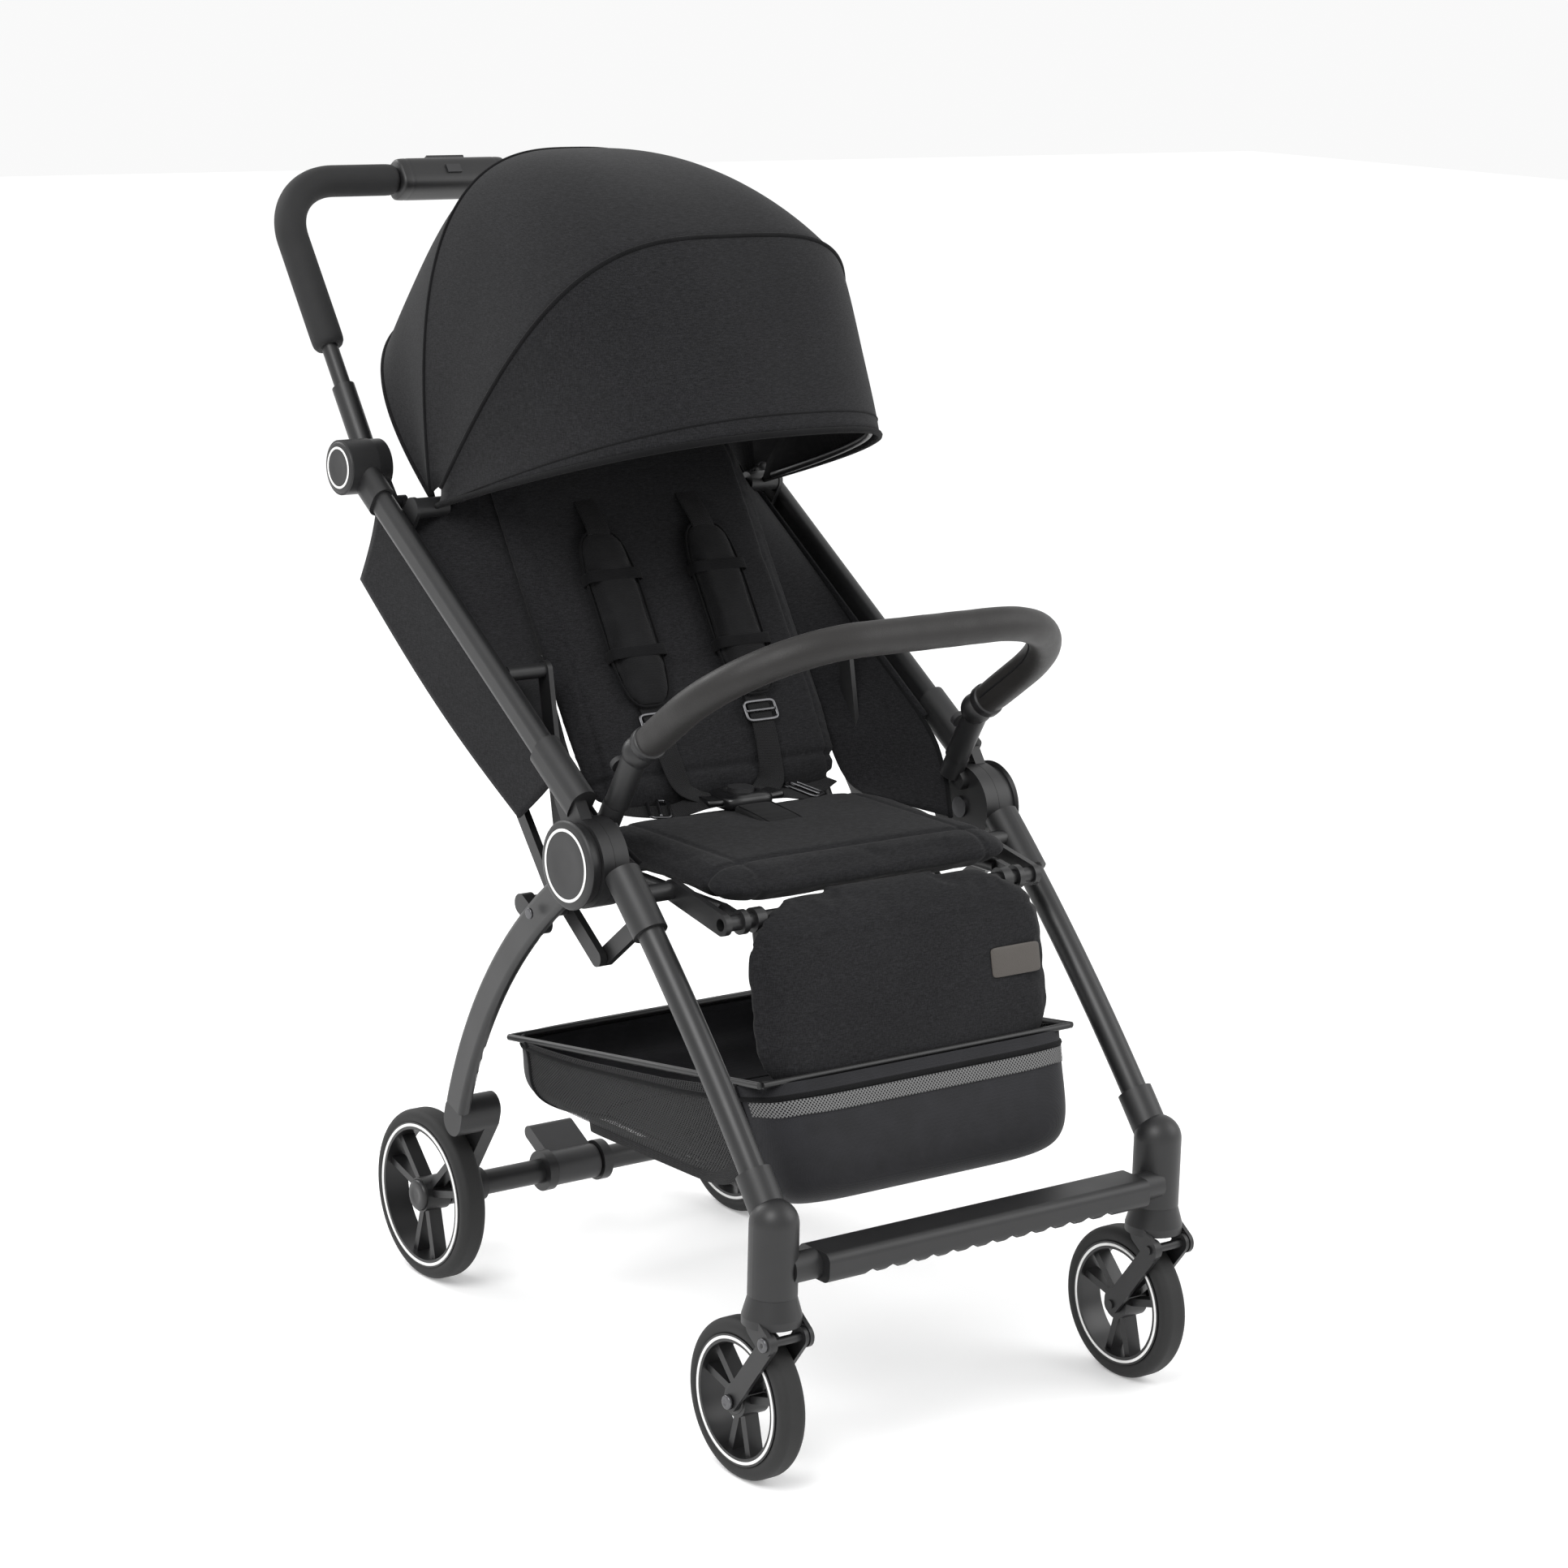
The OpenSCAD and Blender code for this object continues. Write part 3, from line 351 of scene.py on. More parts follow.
@dataclass(frozen=True)
class Finish:
    """A node-based material.

    Args:
        name: the material's name.
        colour: linear base colour.
        rough: roughness of the plain surface.
        sheen: weight of the soft edge glow of cloth.
        coat: weight of a clear coat.
        metal: 1 for bare metal.
    """

    name: str
    colour: tuple[float, float, float]
    rough: float = 0.5
    sheen: float = 0.0
    coat: float = 0.0
    metal: float = 0.0
    specular: float = 0.5

    def start(self) -> tuple[bpy.types.Material, "NodePen"]:
        """Makes the material with its constants on the shader's own sockets."""
        material = bpy.data.materials.new(self.name)
        material.use_nodes = True
        pen = NodePen(material.node_tree)
        shader = pen.shader
        shader.inputs["Base Color"].default_value = (*self.colour, 1)
        shader.inputs["Roughness"].default_value = self.rough
        shader.inputs["Metallic"].default_value = self.metal
        shader.inputs["Specular IOR Level"].default_value = self.specular
        shader.inputs["Sheen Weight"].default_value = self.sheen
        shader.inputs["Sheen Roughness"].default_value = 0.5
        shader.inputs["Coat Weight"].default_value = self.coat
        return material, pen

    def build(self) -> bpy.types.Material:
        """Returns the material."""
        return self.start()[0]


class NodePen:
    """Adds nodes to a material's tree."""

    def __init__(self, tree: bpy.types.NodeTree) -> None:
        """Keeps the tree and its shader."""
        self.tree = tree
        self.shader = tree.nodes["Principled BSDF"]

    def node(self, kind: str, **values: object) -> bpy.types.Node:
        """Adds a node; values with a name of a socket set it, others set properties."""
        made = self.tree.nodes.new(kind)
        for key, value in values.items():
            if key in made.inputs:
                made.inputs[key].default_value = value
            else:
                setattr(made, key, value)
        return made

    def link(self, source: bpy.types.NodeSocket, target: bpy.types.NodeSocket) -> None:
        """Joins two sockets."""
        self.tree.links.new(source, target)

    def place(self, kind: Coordinates, scale: Sequence[float]) -> bpy.types.NodeSocket:
        """Scaled coordinates for a pattern."""
        source = self.node("ShaderNodeTexCoord")
        mapping = self.node("ShaderNodeMapping")
        mapping.inputs["Scale"].default_value = scale
        self.link(source.outputs[kind.value], mapping.inputs["Vector"])
        return mapping.outputs["Vector"]

    def noise(self, vector: bpy.types.NodeSocket, scale: float, detail: float = 2.0,
              rough: float = 0.5) -> bpy.types.NodeSocket:
        """Value of a noise pattern."""
        made = self.node("ShaderNodeTexNoise", Scale=scale, Detail=detail, Roughness=rough)
        self.link(vector, made.inputs["Vector"])
        return made.outputs["Fac"]

    def maths(self, kind: str, a: object, b: object, clamp: bool = False) -> bpy.types.NodeSocket:
        """A Math node of two sockets or numbers."""
        made = self.node("ShaderNodeMath", operation=kind, use_clamp=clamp)
        for socket, value in zip(made.inputs, (a, b)):
            if isinstance(value, bpy.types.NodeSocket):
                self.link(value, socket)
            else:
                socket.default_value = value
        return made.outputs[0]

    def ramp(self, value: bpy.types.NodeSocket, stops: Sequence[tuple[float, Sequence[float]]]
             ) -> bpy.types.NodeSocket:
        """Colour ramp over a value."""
        made = self.node("ShaderNodeValToRGB")
        self.link(value, made.inputs["Fac"])
        elements = made.color_ramp.elements
        while len(elements) < len(stops):
            elements.new(0.5)
        for element, (at, colour) in zip(elements, stops):
            element.position = at
            element.color = (*colour, 1)
        return made.outputs["Color"]

    def spread(self, value: bpy.types.NodeSocket, low: float, high: float) -> bpy.types.NodeSocket:
        """Maps a value from 0..1 to low..high."""
        made = self.node("ShaderNodeMapRange")
        made.inputs["To Min"].default_value = low
        made.inputs["To Max"].default_value = high
        self.link(value, made.inputs["Value"])
        return made.outputs["Result"]

    def bump(self, height: bpy.types.NodeSocket, strength: float, distance: float) -> None:
        """Feeds a height to the shader's normal."""
        made = self.node("ShaderNodeBump", Strength=strength, Distance=distance)
        self.link(height, made.inputs["Height"])
        self.link(made.outputs["Normal"], self.shader.inputs["Normal"])


@dataclass(frozen=True)
class HeatheredCloth(Finish):
    """Woven melange cloth: fine crosswise and lengthwise yarns of mixed shades."""

    yarn: float = 1500.0
    contrast: float = 0.55
    coordinates: Coordinates = Coordinates.OBJECT

    def build(self) -> bpy.types.Material:
        """Adds two crossed streak patterns, a weave bump and slow shade drift."""
        material, pen = self.start()
        flat = self.yarn * 0.13
        weft = pen.noise(pen.place(self.coordinates, (flat, flat, self.yarn)), 1.0, 3, 0.6)
        warp = pen.noise(pen.place(self.coordinates, (self.yarn, self.yarn, flat)), 1.0, 3, 0.6)
        drift = pen.noise(pen.place(self.coordinates, (1, 1, 1)), 9.0, 2)
        mixed = pen.maths("ADD", pen.maths("MULTIPLY", weft, 0.5), pen.maths("MULTIPLY", warp, 0.5))
        tone = pen.maths("ADD", mixed, pen.maths("MULTIPLY", pen.maths("SUBTRACT", drift, 0.5), 0.10))
        base = np.array(self.colour)
        pen.link(pen.ramp(tone, [(0.36, tuple(base * (1 - self.contrast))), (0.50, tuple(base)),
                                 (0.66, tuple(base * (1 + 1.5 * self.contrast)))]),
                 pen.shader.inputs["Base Color"])
        pen.bump(mixed, 0.35, 0.0006)
        return material


@dataclass(frozen=True)
class PlainCloth(Finish):
    """Fine plain or ribbed cloth with a regular weave."""

    pitch: float = 0.0012
    rib: float = 0.5
    coordinates: Coordinates = Coordinates.OBJECT

    def build(self) -> bpy.types.Material:
        """Adds regular ribs for the weave and a little noise in the shade."""
        material, pen = self.start()
        turns = 2 * math.pi / self.pitch
        place = pen.place(self.coordinates, (1, 1, 1))
        split = pen.node("ShaderNodeSeparateXYZ")
        pen.link(place, split.inputs[0])
        ribs = [pen.maths("SINE", pen.maths("MULTIPLY", split.outputs[k], turns), 0.0) for k in range(3)]
        weave = pen.maths("MULTIPLY", pen.maths("ADD", pen.maths("ADD", ribs[0], ribs[1]), ribs[2]), 0.33)
        drift = pen.noise(place, 40.0, 3)
        base = np.array(self.colour)
        pen.link(pen.ramp(drift, [(0.3, tuple(base * 0.8)), (0.7, tuple(base * 1.25))]),
                 pen.shader.inputs["Base Color"])
        pen.bump(weave, self.rib, 0.0004)
        return material


@dataclass(frozen=True)
class MouldedPlastic(Finish):
    """Moulded plastic or powder coat: fine grain and slight uneven gloss."""

    grain: float = 1400.0
    depth: float = 0.12

    def build(self) -> bpy.types.Material:
        """Adds grain bump and a roughness that drifts a little."""
        material, pen = self.start()
        place = pen.place(Coordinates.OBJECT, (1, 1, 1))
        pen.link(pen.spread(pen.noise(place, 25.0, 4), self.rough - 0.05, self.rough + 0.06),
                 pen.shader.inputs["Roughness"])
        shade = pen.noise(place, 60.0, 2)
        base = np.array(self.colour)
        pen.link(pen.ramp(shade, [(0.3, tuple(base * 0.92)), (0.7, tuple(base * 1.08))]),
                 pen.shader.inputs["Base Color"])
        pen.bump(pen.noise(place, self.grain, 2), self.depth, 0.0004)
        return material


@dataclass(frozen=True)
class GrainedLeather(Finish):
    """Soft grained synthetic leather with fine creases."""

    def build(self) -> bpy.types.Material:
        """Adds cell grain and long soft wrinkles."""
        material, pen = self.start()
        place = pen.place(Coordinates.OBJECT, (1, 1, 1))
        cells = pen.node("ShaderNodeTexVoronoi", Scale=900.0)
        pen.link(place, cells.inputs["Vector"])
        soft = pen.noise(place, 70.0, 4)
        height = pen.maths("ADD", pen.maths("MULTIPLY", cells.outputs["Distance"], 0.5), soft)
        pen.link(pen.spread(soft, self.rough - 0.08, self.rough + 0.1), pen.shader.inputs["Roughness"])
        pen.bump(height, 0.3, 0.0007)
        return material


@dataclass(frozen=True)
class NetCloth(Finish):
    """See-through mesh: round holes in a staggered pattern on the surface's own UV map."""

    pitch: float = 0.0035

    def build(self) -> bpy.types.Material:
        """Sets alpha to 0 inside the holes of a staggered grid."""
        material, pen = self.start()
        split = pen.node("ShaderNodeSeparateXYZ")
        pen.link(pen.place(Coordinates.SURFACE, (1, 1, 1)), split.inputs[0])
        turns = 2 * math.pi / self.pitch
        waves = [pen.maths("SINE", pen.maths("MULTIPLY", split.outputs[k], turns), 0.0) for k in (0, 1)]
        holes = pen.maths("GREATER_THAN", pen.maths("MULTIPLY", waves[0], waves[1]), 0.12)
        pen.link(pen.maths("SUBTRACT", 1.0, holes), pen.shader.inputs["Alpha"])
        return material


CANOPY_CLOTH = HeatheredCloth("canopy_cloth", (0.0115, 0.0115, 0.0125), 0.95, 0.05, specular=0.12)
SEAT_CLOTH = HeatheredCloth("seat_cloth", (0.0115, 0.0115, 0.0125), 0.95, 0.05, specular=0.12)
LINING = PlainCloth("black_lining", (0.004, 0.004, 0.0045), 0.95, 0.02, specular=0.1)
PIPING = PlainCloth("piping", (0.005, 0.005, 0.0055), 0.9, 0.03, specular=0.12, pitch=0.0009)
KNIT = PlainCloth("knit_cloth", (0.0085, 0.0085, 0.009), 0.95, 0.05, specular=0.12, pitch=0.0011)
WEBBING = PlainCloth("ribbed_webbing", (0.006, 0.006, 0.0065), 0.75, 0.03, specular=0.2, pitch=0.0016, rib=1.0,
                     coordinates=Coordinates.SURFACE)
NYLON = PlainCloth("basket_nylon", (0.0085, 0.0085, 0.0105), 0.65, 0.05, specular=0.25, pitch=0.0010, rib=0.35)
NET = NetCloth("basket_net", (0.004, 0.004, 0.0045), 0.7)
LIGHT_NET = NetCloth("light_net", (0.13, 0.13, 0.13), 0.7)
TUBE_PAINT = MouldedPlastic("black_powder_coat", (0.0085, 0.0085, 0.009), 0.40, grain=2600.0, depth=0.06)
HUB_PLASTIC = MouldedPlastic("charcoal_plastic", (0.0095, 0.0095, 0.010), 0.48, depth=0.10)
CASTER_PLASTIC = MouldedPlastic("black_plastic", (0.0075, 0.0075, 0.008), 0.45, depth=0.10)
BUTTON_PLASTIC = MouldedPlastic("dark_grey_plastic", (0.018, 0.018, 0.019), 0.42, depth=0.08)
BUCKLE_PLASTIC = MouldedPlastic("gloss_black_plastic", (0.0055, 0.0055, 0.006), 0.30, depth=0.03)
FOAM = MouldedPlastic("grip_foam", (0.0065, 0.0065, 0.007), 0.8, grain=1800.0, depth=0.35)
TYRE = MouldedPlastic("tyre_foam", (0.006, 0.006, 0.006), 0.7, grain=1500.0, depth=0.15)
RIM_PLASTIC = MouldedPlastic("rim_plastic", (0.007, 0.007, 0.0075), 0.38, depth=0.05)
WHITE_RING = MouldedPlastic("white_ring", (0.78, 0.78, 0.77), 0.45, grain=2000.0, depth=0.05)
STEEL = MouldedPlastic("pin_steel", (0.12, 0.12, 0.125), 0.35, metal=1.0, depth=0.05)
BUMPER_LEATHER = GrainedLeather("bumper_leather", (0.0115, 0.0105, 0.010), 0.5, 0.03, specular=0.35)
PATCH_LEATHER = GrainedLeather("patch_leather", (0.050, 0.043, 0.037), 0.5)

_made: dict[str, bpy.types.Material] = {}


def material_of(finish: Finish) -> bpy.types.Material:
    """The material of a finish, made once."""
    if finish.name not in _made:
        _made[finish.name] = finish.build()
    return _made[finish.name]


def dress(piece: bpy.types.Object, finish: Finish, body: Optional[str]) -> bpy.types.Object:
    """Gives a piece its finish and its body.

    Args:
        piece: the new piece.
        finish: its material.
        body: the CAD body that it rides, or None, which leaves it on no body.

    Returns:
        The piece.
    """
    piece.data.materials.clear()
    piece.data.materials.append(material_of(finish))
    if body:
        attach(piece, body)
    LOG.info("piece %s on %s", piece.name, body or "two bodies")
    return piece


def paint_node(name: str, finish: Finish) -> None:
    """Gives a CAD node a finish."""
    data = frame["nodes"][name].data
    if not data.materials:
        data.materials.append(material_of(finish))
    for k in range(len(data.materials)):
        data.materials[k] = material_of(finish)


# --- padded pieces -----------------------------------------------------------


@dataclass
class Pad:
    """A padded piece: a rounded slab, inflated as cloth and then given its seams.

    Args:
        name: the piece's name.
        centre: its middle.
        axes: unit vectors of its width, its length and its thickness.
        half: half sizes along the axes.
        corner: squareness of its outline.
        edge: squareness of its thickness towards the rim.
        bend: moves points given in slab coordinates (n x 3), before inflation.
        seams: depth of the sewn seams at slab coordinates, in metres.
        puff: most that the cloth may move, in metres.
        voxel: size of the remesh.
    """

    name: str
    centre: Array
    axes: Array
    half: tuple[float, float, float]
    corner: float = 6.0
    edge: float = 3.0
    bend: Optional[Callable[[Array], Array]] = None
    seams: Optional[Callable[[Array], Array]] = None
    puff: float = 0.006
    voxel: float = 0.005

    def local(self, places: Array) -> Array:
        """Slab coordinates of places in the frame."""
        return (places - self.centre) @ np.asarray(self.axes).T

    def world(self, slab: Array) -> Array:
        """Frame coordinates of slab coordinates."""
        return self.centre + slab @ np.asarray(self.axes)

    def slab(self) -> Array:
        """Superellipsoid grid: radius falls as cos^(2/edge) while the height rises as sin^(2/edge)."""
        rise = np.linspace(-np.pi / 2, np.pi / 2, 41)[:, None]
        turn = np.linspace(0, 2 * np.pi, 96, endpoint=False)[None]
        out = signed_power(np.cos(rise), 2 / self.edge)
        outline = superellipse(turn[0], self.half[0], self.half[1], self.corner)
        return np.stack([out * outline[None, :, 0], out * outline[None, :, 1],
                         self.half[2] * signed_power(np.sin(rise), 2 / self.edge) * np.ones_like(turn)], -1)

    def build(self) -> bpy.types.Object:
        """Makes the pad and returns it."""
        grid = self.slab()
        shape = grid.shape
        slab = grid.reshape(-1, 3)
        if self.bend:
            slab = self.bend(slab)
        piece = grid_object(self.name, self.world(slab).reshape(shape), wrap_v=True, caps=True)
        remesh = piece.modifiers.new("remesh", "REMESH")
        remesh.mode = "VOXEL"
        remesh.voxel_size = self.voxel
        finish_modifiers(piece)
        inflate(piece, self.puff)
        round_off(piece)
        finish_modifiers(piece)
        if self.seams:
            mesh = piece.data
            places = vertex_array(mesh)
            set_vertices(mesh, places - normal_array(mesh) * self.seams(self.local(places))[:, None])
        mesh = piece.data
        mesh.polygons.foreach_set("use_smooth", np.ones(len(mesh.polygons), bool))
        return piece


def inflate(piece: bpy.types.Object, cap: float) -> None:
    """Blows a closed cloth up a little, with no point moving further than cap."""
    scene = bpy.context.scene
    start = vertex_array(piece.data)
    cloth = piece.modifiers.new("cloth", "CLOTH")
    cloth.settings.quality = 4
    cloth.settings.mass = 0.3
    cloth.settings.use_pressure = True
    cloth.settings.uniform_pressure_force = 4.0
    cloth.settings.tension_stiffness = 15
    cloth.settings.bending_stiffness = 0.8
    cloth.settings.effector_weights.gravity = 0
    cloth.collision_settings.use_self_collision = False
    cloth.point_cache.frame_start = 1
    cloth.point_cache.frame_end = 20
    for step in range(1, 21):
        scene.frame_set(step)
    graph = bpy.context.evaluated_depsgraph_get()
    blown = bpy.data.meshes.new_from_object(piece.evaluated_get(graph))
    move = vertex_array(blown) - start
    bpy.data.meshes.remove(blown)
    piece.modifiers.clear()
    scene.frame_set(1)
    length = np.linalg.norm(move, axis=1)
    limit = np.minimum(1, cap / np.maximum(length, 1e-9))
    set_vertices(piece.data, start + move * limit[:, None])


def groove(distance: Array, width: float, depth: float) -> Array:
    """Depth of a sewn channel with a round section at a distance from its line."""
    return depth * np.exp(-(distance / width) ** 2)


# --- canopy ------------------------------------------------------------------


@dataclass
class Canopy:
    """Hood: one continuous cloth over three bows, with piping along its seams."""

    half: float = 0.188
    reach: float = 0.338
    hem_angle: float = 18.0
    visor_angle: float = 51.5
    rear_angle: float = 100.0
    tail_angle: float = 140.0
    cloth: float = 0.0022
    angles: tuple[float, ...] = (18.0, 51.5, 100.0, 140.0)
    halves: tuple[float, ...] = (0.188, 0.188, 0.188, 0.182)
    reaches: tuple[float, ...] = (0.338, 0.335, 0.328, 0.262)
    squares: tuple[float, ...] = (2.5, 3.5, 2.8, 2.8)
    start: Array = field(default_factory=lambda: np.zeros(3))
    end: Array = field(default_factory=lambda: np.zeros(3))

    def surface(self, angle: Array, turn: Array, grow: float = 0.0) -> Array:
        """Point of the hood at an angle above forward and a turn (0..pi) over the top.

        The half width, reach and squareness of the hoop change evenly between the bows, and
        the cloth is drawn in a little between two bows.
        """
        half = np.interp(angle, self.angles, self.halves) + grow
        reach = np.interp(angle, self.angles, self.reaches) + grow
        square = np.interp(angle, self.angles, self.squares)
        part = np.interp(angle, self.angles, (0, 1, 2, 3)) % 1.0
        depth = np.interp(angle, self.angles, (0.009, 0.007, 0.007, 0.009))
        billow = -depth * np.sin(np.pi * part) * np.abs(np.sin(turn)) ** 0.5
        across = (half + billow) * signed_power(np.cos(turn), 2 / square)
        out = (reach + billow) * np.abs(np.sin(turn)) ** (2 / square)
        rad = np.radians(angle)
        return np.stack([across, CANOPY_PIVOT[1] - out * np.cos(rad), CANOPY_PIVOT[2] + out * np.sin(rad)], -1)

    def hoop(self, angle: float, grow: float, count: int = 97, margin: float = 0.09) -> Array:
        """Line over the hood at one angle."""
        turn = np.linspace(margin, np.pi - margin, count)
        return self.surface(np.full(count, angle), turn, grow)

    def hoop_normal(self, angle: float) -> Array:
        """Unit vector square to a hoop's plane."""
        return slope(90 - angle)

    def bind(self, piece: bpy.types.Object) -> None:
        """Bakes a piece's placement into its mesh."""
        tuple(self.start)
        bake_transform(piece)

    def build(self) -> None:
        """Makes the cloth, its lining, seams, hem and bows."""
        self.start = self.surface(np.array(self.rear_angle), np.array(np.pi / 2))
        self.end = self.surface(np.array(self.hem_angle), np.array(np.pi / 2))
        turn = np.linspace(0.012, np.pi - 0.012, 121)
        angle = np.linspace(self.hem_angle - 1.0, self.tail_angle + 2, 101)
        a, t = np.meshgrid(angle, turn, indexing="ij")
        cloth = thicken(grid_object("canopy_cloth", self.surface(a, t)), self.cloth)
        dress(cloth, CANOPY_CLOTH, None)
        self.bind(cloth)
        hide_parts("canopy_visor", "canopy_middle_panel", "canopy_rear_panel")
        lining = thicken(grid_object("canopy_lining", self.surface(a, t, -0.0022)), 0.0008)
        dress(lining, LINING, None)
        self.bind(lining)
        for name, at, size in (("visor", self.visor_angle, 0.0024), ("rear", self.rear_angle, 0.0020),
                               ("hem", self.hem_angle - 1.0, 0.0030), ("hem_stitch", self.hem_angle + 2.0, 0.0011),
                               ("tail", self.tail_angle + 2, 0.0026)):
            seam = tube(f"canopy_{name}_piping", self.hoop(at, 0.0008, 161, 0.012), size, self.hoop_normal(at), count=8)
            dress(seam, PIPING, None)
            self.bind(seam)
        for name, at in (("front", self.hem_angle), ("middle", self.visor_angle), ("rear", self.rear_angle)):
            bow = tube(f"canopy_{name}_spring_bow", self.hoop(at, -0.0065, 97, 0.06), 0.0032,
                       self.hoop_normal(at), count=10)
            dress(bow, TUBE_PAINT, None)
            self.bind(bow)
            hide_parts(f"canopy_{name}_bow")


# --- seat --------------------------------------------------------------------


@dataclass
class Seat:
    """Seat cushion, backrest, wings, leg rest and their piping."""

    half: float = 0.163
    back_half: float = 0.152
    leg_half: float = 0.170

    def cushion(self) -> None:
        """Seat cushion, crowned, with a crease in front."""
        low, high = node_box("seat_pad")
        mid = (low + high) / 2
        length = high[1] - low[1]
        pad = Pad("seat_cushion", mid + [0, -0.006, 0.0005], np.array([ACROSS, [0, 1, 0], [0, 0, 1]]),
                  (self.half + 0.004, length / 2 + 0.016, 0.0125), corner=9, edge=3.2,
                  seams=lambda q: groove(q[:, 1] + 0.075, 0.004, 0.003) + groove(np.abs(q[:, 0]) - 0.125, 0.003, 0.0015),
                  puff=0.006)
        piece = pad.build()
        dress(piece, SEAT_CLOTH, "seat_base")
        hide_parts("seat_pad")

    def backrest(self) -> None:
        """Backrest pad with a sewn border."""
        centre = RECLINE + BACK_UP * 0.218 + BACK_OUT * 0.0215

        def dish(q: Array) -> Array:
            """Pulls the sides forwards a little, so that the back cups the child."""
            q = q.copy()
            q[:, 2] += 0.10 * np.abs(q[:, 0]) ** 1.5
            return q

        pad = Pad("backrest_cushion", centre, np.array([ACROSS, BACK_UP, BACK_OUT]),
                  (self.back_half, 0.203, 0.013), corner=7, edge=3.0, bend=dish,
                  seams=lambda q: groove(np.abs(q[:, 0]) - 0.128, 0.003, 0.0022)
                  + groove(q[:, 1] + 0.165, 0.004, 0.003), puff=0.007)
        piece = pad.build()
        dress(piece, SEAT_CLOTH, "backrest")
        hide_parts("backrest_pad")

    def legrest(self) -> None:
        """Leg-rest pad with rounded lower corners and a sewn border."""
        length = 0.192
        centre = SEAT_HINGE + LEG_DOWN * (length / 2 - 0.022) + LEG_OUT * 0.0165

        def roll(q: Array) -> Array:
            """Rolls the top edge back over the crease."""
            q = q.copy()
            over = np.clip(-q[:, 1] - 0.055, 0, None)
            q[:, 2] -= 16.0 * over**2
            return q

        pad = Pad("leg_rest_pad", centre, np.array([ACROSS, LEG_DOWN, LEG_OUT]),
                  (self.leg_half, length / 2, 0.0105), corner=3.6, edge=3.0, bend=roll,
                  seams=lambda q: groove(q[:, 1] + 0.052, 0.003, 0.0016), puff=0.006)
        piece = pad.build()
        dress(piece, SEAT_CLOTH, "leg_rest")
        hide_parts("legrest_pad")
        patch = Pad("leg_rest_patch", centre + LEG_DOWN * -0.004 + ACROSS * 0.118 + LEG_OUT * 0.0165,
                    np.array([ACROSS, LEG_DOWN, LEG_OUT]), (0.028, 0.0135, 0.0012), corner=10, edge=4)
        grid = pad_grid(patch)
        dress(grid, PATCH_LEATHER, "leg_rest")

    def wings(self) -> None:
        """Cloth wings from the backrest's edges out to the seat rails and down beside the seat."""
        edge = smooth_path([at(262, 484, 176), at(300, 520, 196), at(345, 562, 203), at(480, 650, 204),
                            at(622, 742, 204)], 50)
        inner = smooth_path([at(345, 487, 160), at(392, 493, 156), at(424, 545, 146), at(500, 668, 142),
                             at(572, 776, 140)], 50)
        for s in SIDES:
            out = np.linspace(0, 1, 16)[None, :, None]
            along = np.linspace(0, 1, 50)[:, None, None]
            grid = edge[:, None] * (1 - out) + inner[:, None] * out
            bulge = 0.014 * np.sin(np.pi * out) * np.sin(np.pi * along)
            grid = (grid + bulge * ACROSS) * [s, 1, 1]
            wing = thicken(grid_object(f"seat_wing_{SIDE_NAME[s]}", grid), 0.003)
            dress(wing, SEAT_CLOTH, None)
            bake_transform(wing)
            line = tube(f"seat_wing_piping_{SIDE_NAME[s]}", edge * [s, 1, 1], 0.0024, ACROSS, count=8)
            dress(line, PIPING, "rail_frame")

    def side_panels(self) -> None:
        """Outer cloth below the rails, closing the side of the seat."""
        pieces = []
        for s in SIDES:
            u = np.linspace(0, 1, 50)[:, None, None]
            v = np.linspace(0, 1, 24)[None, :, None]
            rail = TOP - [0, 0.377, 0.245] + (TOP - (TOP - [0, 0.377, 0.245])) * (0.10 + 0.86 * u)
            low_start, low_end = TOP + [0, -0.262, -0.288], TOP + [0, 0.020, -0.112]
            low = low_start + (low_end - low_start) * u + [0, 0.0, -0.010] * np.sin(np.pi * u)
            grid = rail * (1 - v) + low * v + ACROSS * s * (0.2045 - 0.004 * np.sin(np.pi * v))
            pieces.append(thicken(grid_object(f"side_panel_{SIDE_NAME[s]}", grid), 0.0025))
        for piece in pieces:
            dress(piece, SEAT_CLOTH, "rail_frame")
        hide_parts("side_panels")

    def build(self) -> None:
        """Makes every soft part of the seat."""
        self.cushion()
        self.backrest()
        self.legrest()
        self.wings()
        self.side_panels()


def pad_grid(pad: Pad) -> bpy.types.Object:
    """Small flat piece with a pad's outline, without cloth simulation."""
    grid = pad.slab()
    return grid_object(pad.name, pad.world(grid.reshape(-1, 3)).reshape(grid.shape), wrap_v=True, caps=True)


def at(y: float, z: float, x: float = 0.0) -> Array:
    """Point at side-view place y, z and distance x across, all in millimetres from the front swivel axis and floor."""
    return np.array([x / 1000, CASTER[1] + y / 1000, z / 1000])


def ring_on_side(name: str, centre: Array, face_x: float, radius: float, width: float, proud: float
                 ) -> bpy.types.Object:
    """Flat moulded ring on a side face: a low half-ellipse profile turned about the X axis.

    Args:
        name: the piece's name.
        centre: place of the axis.
        face_x: signed distance of the face that it lies on.
        radius: middle radius.
        width: width of the band.
        proud: how far it stands out of the face.

    Returns:
        The ring.
    """
    turn = np.linspace(0, 2 * np.pi, 16, endpoint=False)
    side = math.copysign(1, face_x)
    profile = np.stack([face_x + side * (proud * np.sin(turn) * 0.9 + 0.0001),
                        radius + width / 2 * signed_power(np.cos(turn), 0.6)], -1)
    return grid_object(name, lathe_points(profile, centre * [0, 1, 1], 128), wrap_u=True, wrap_v=True)


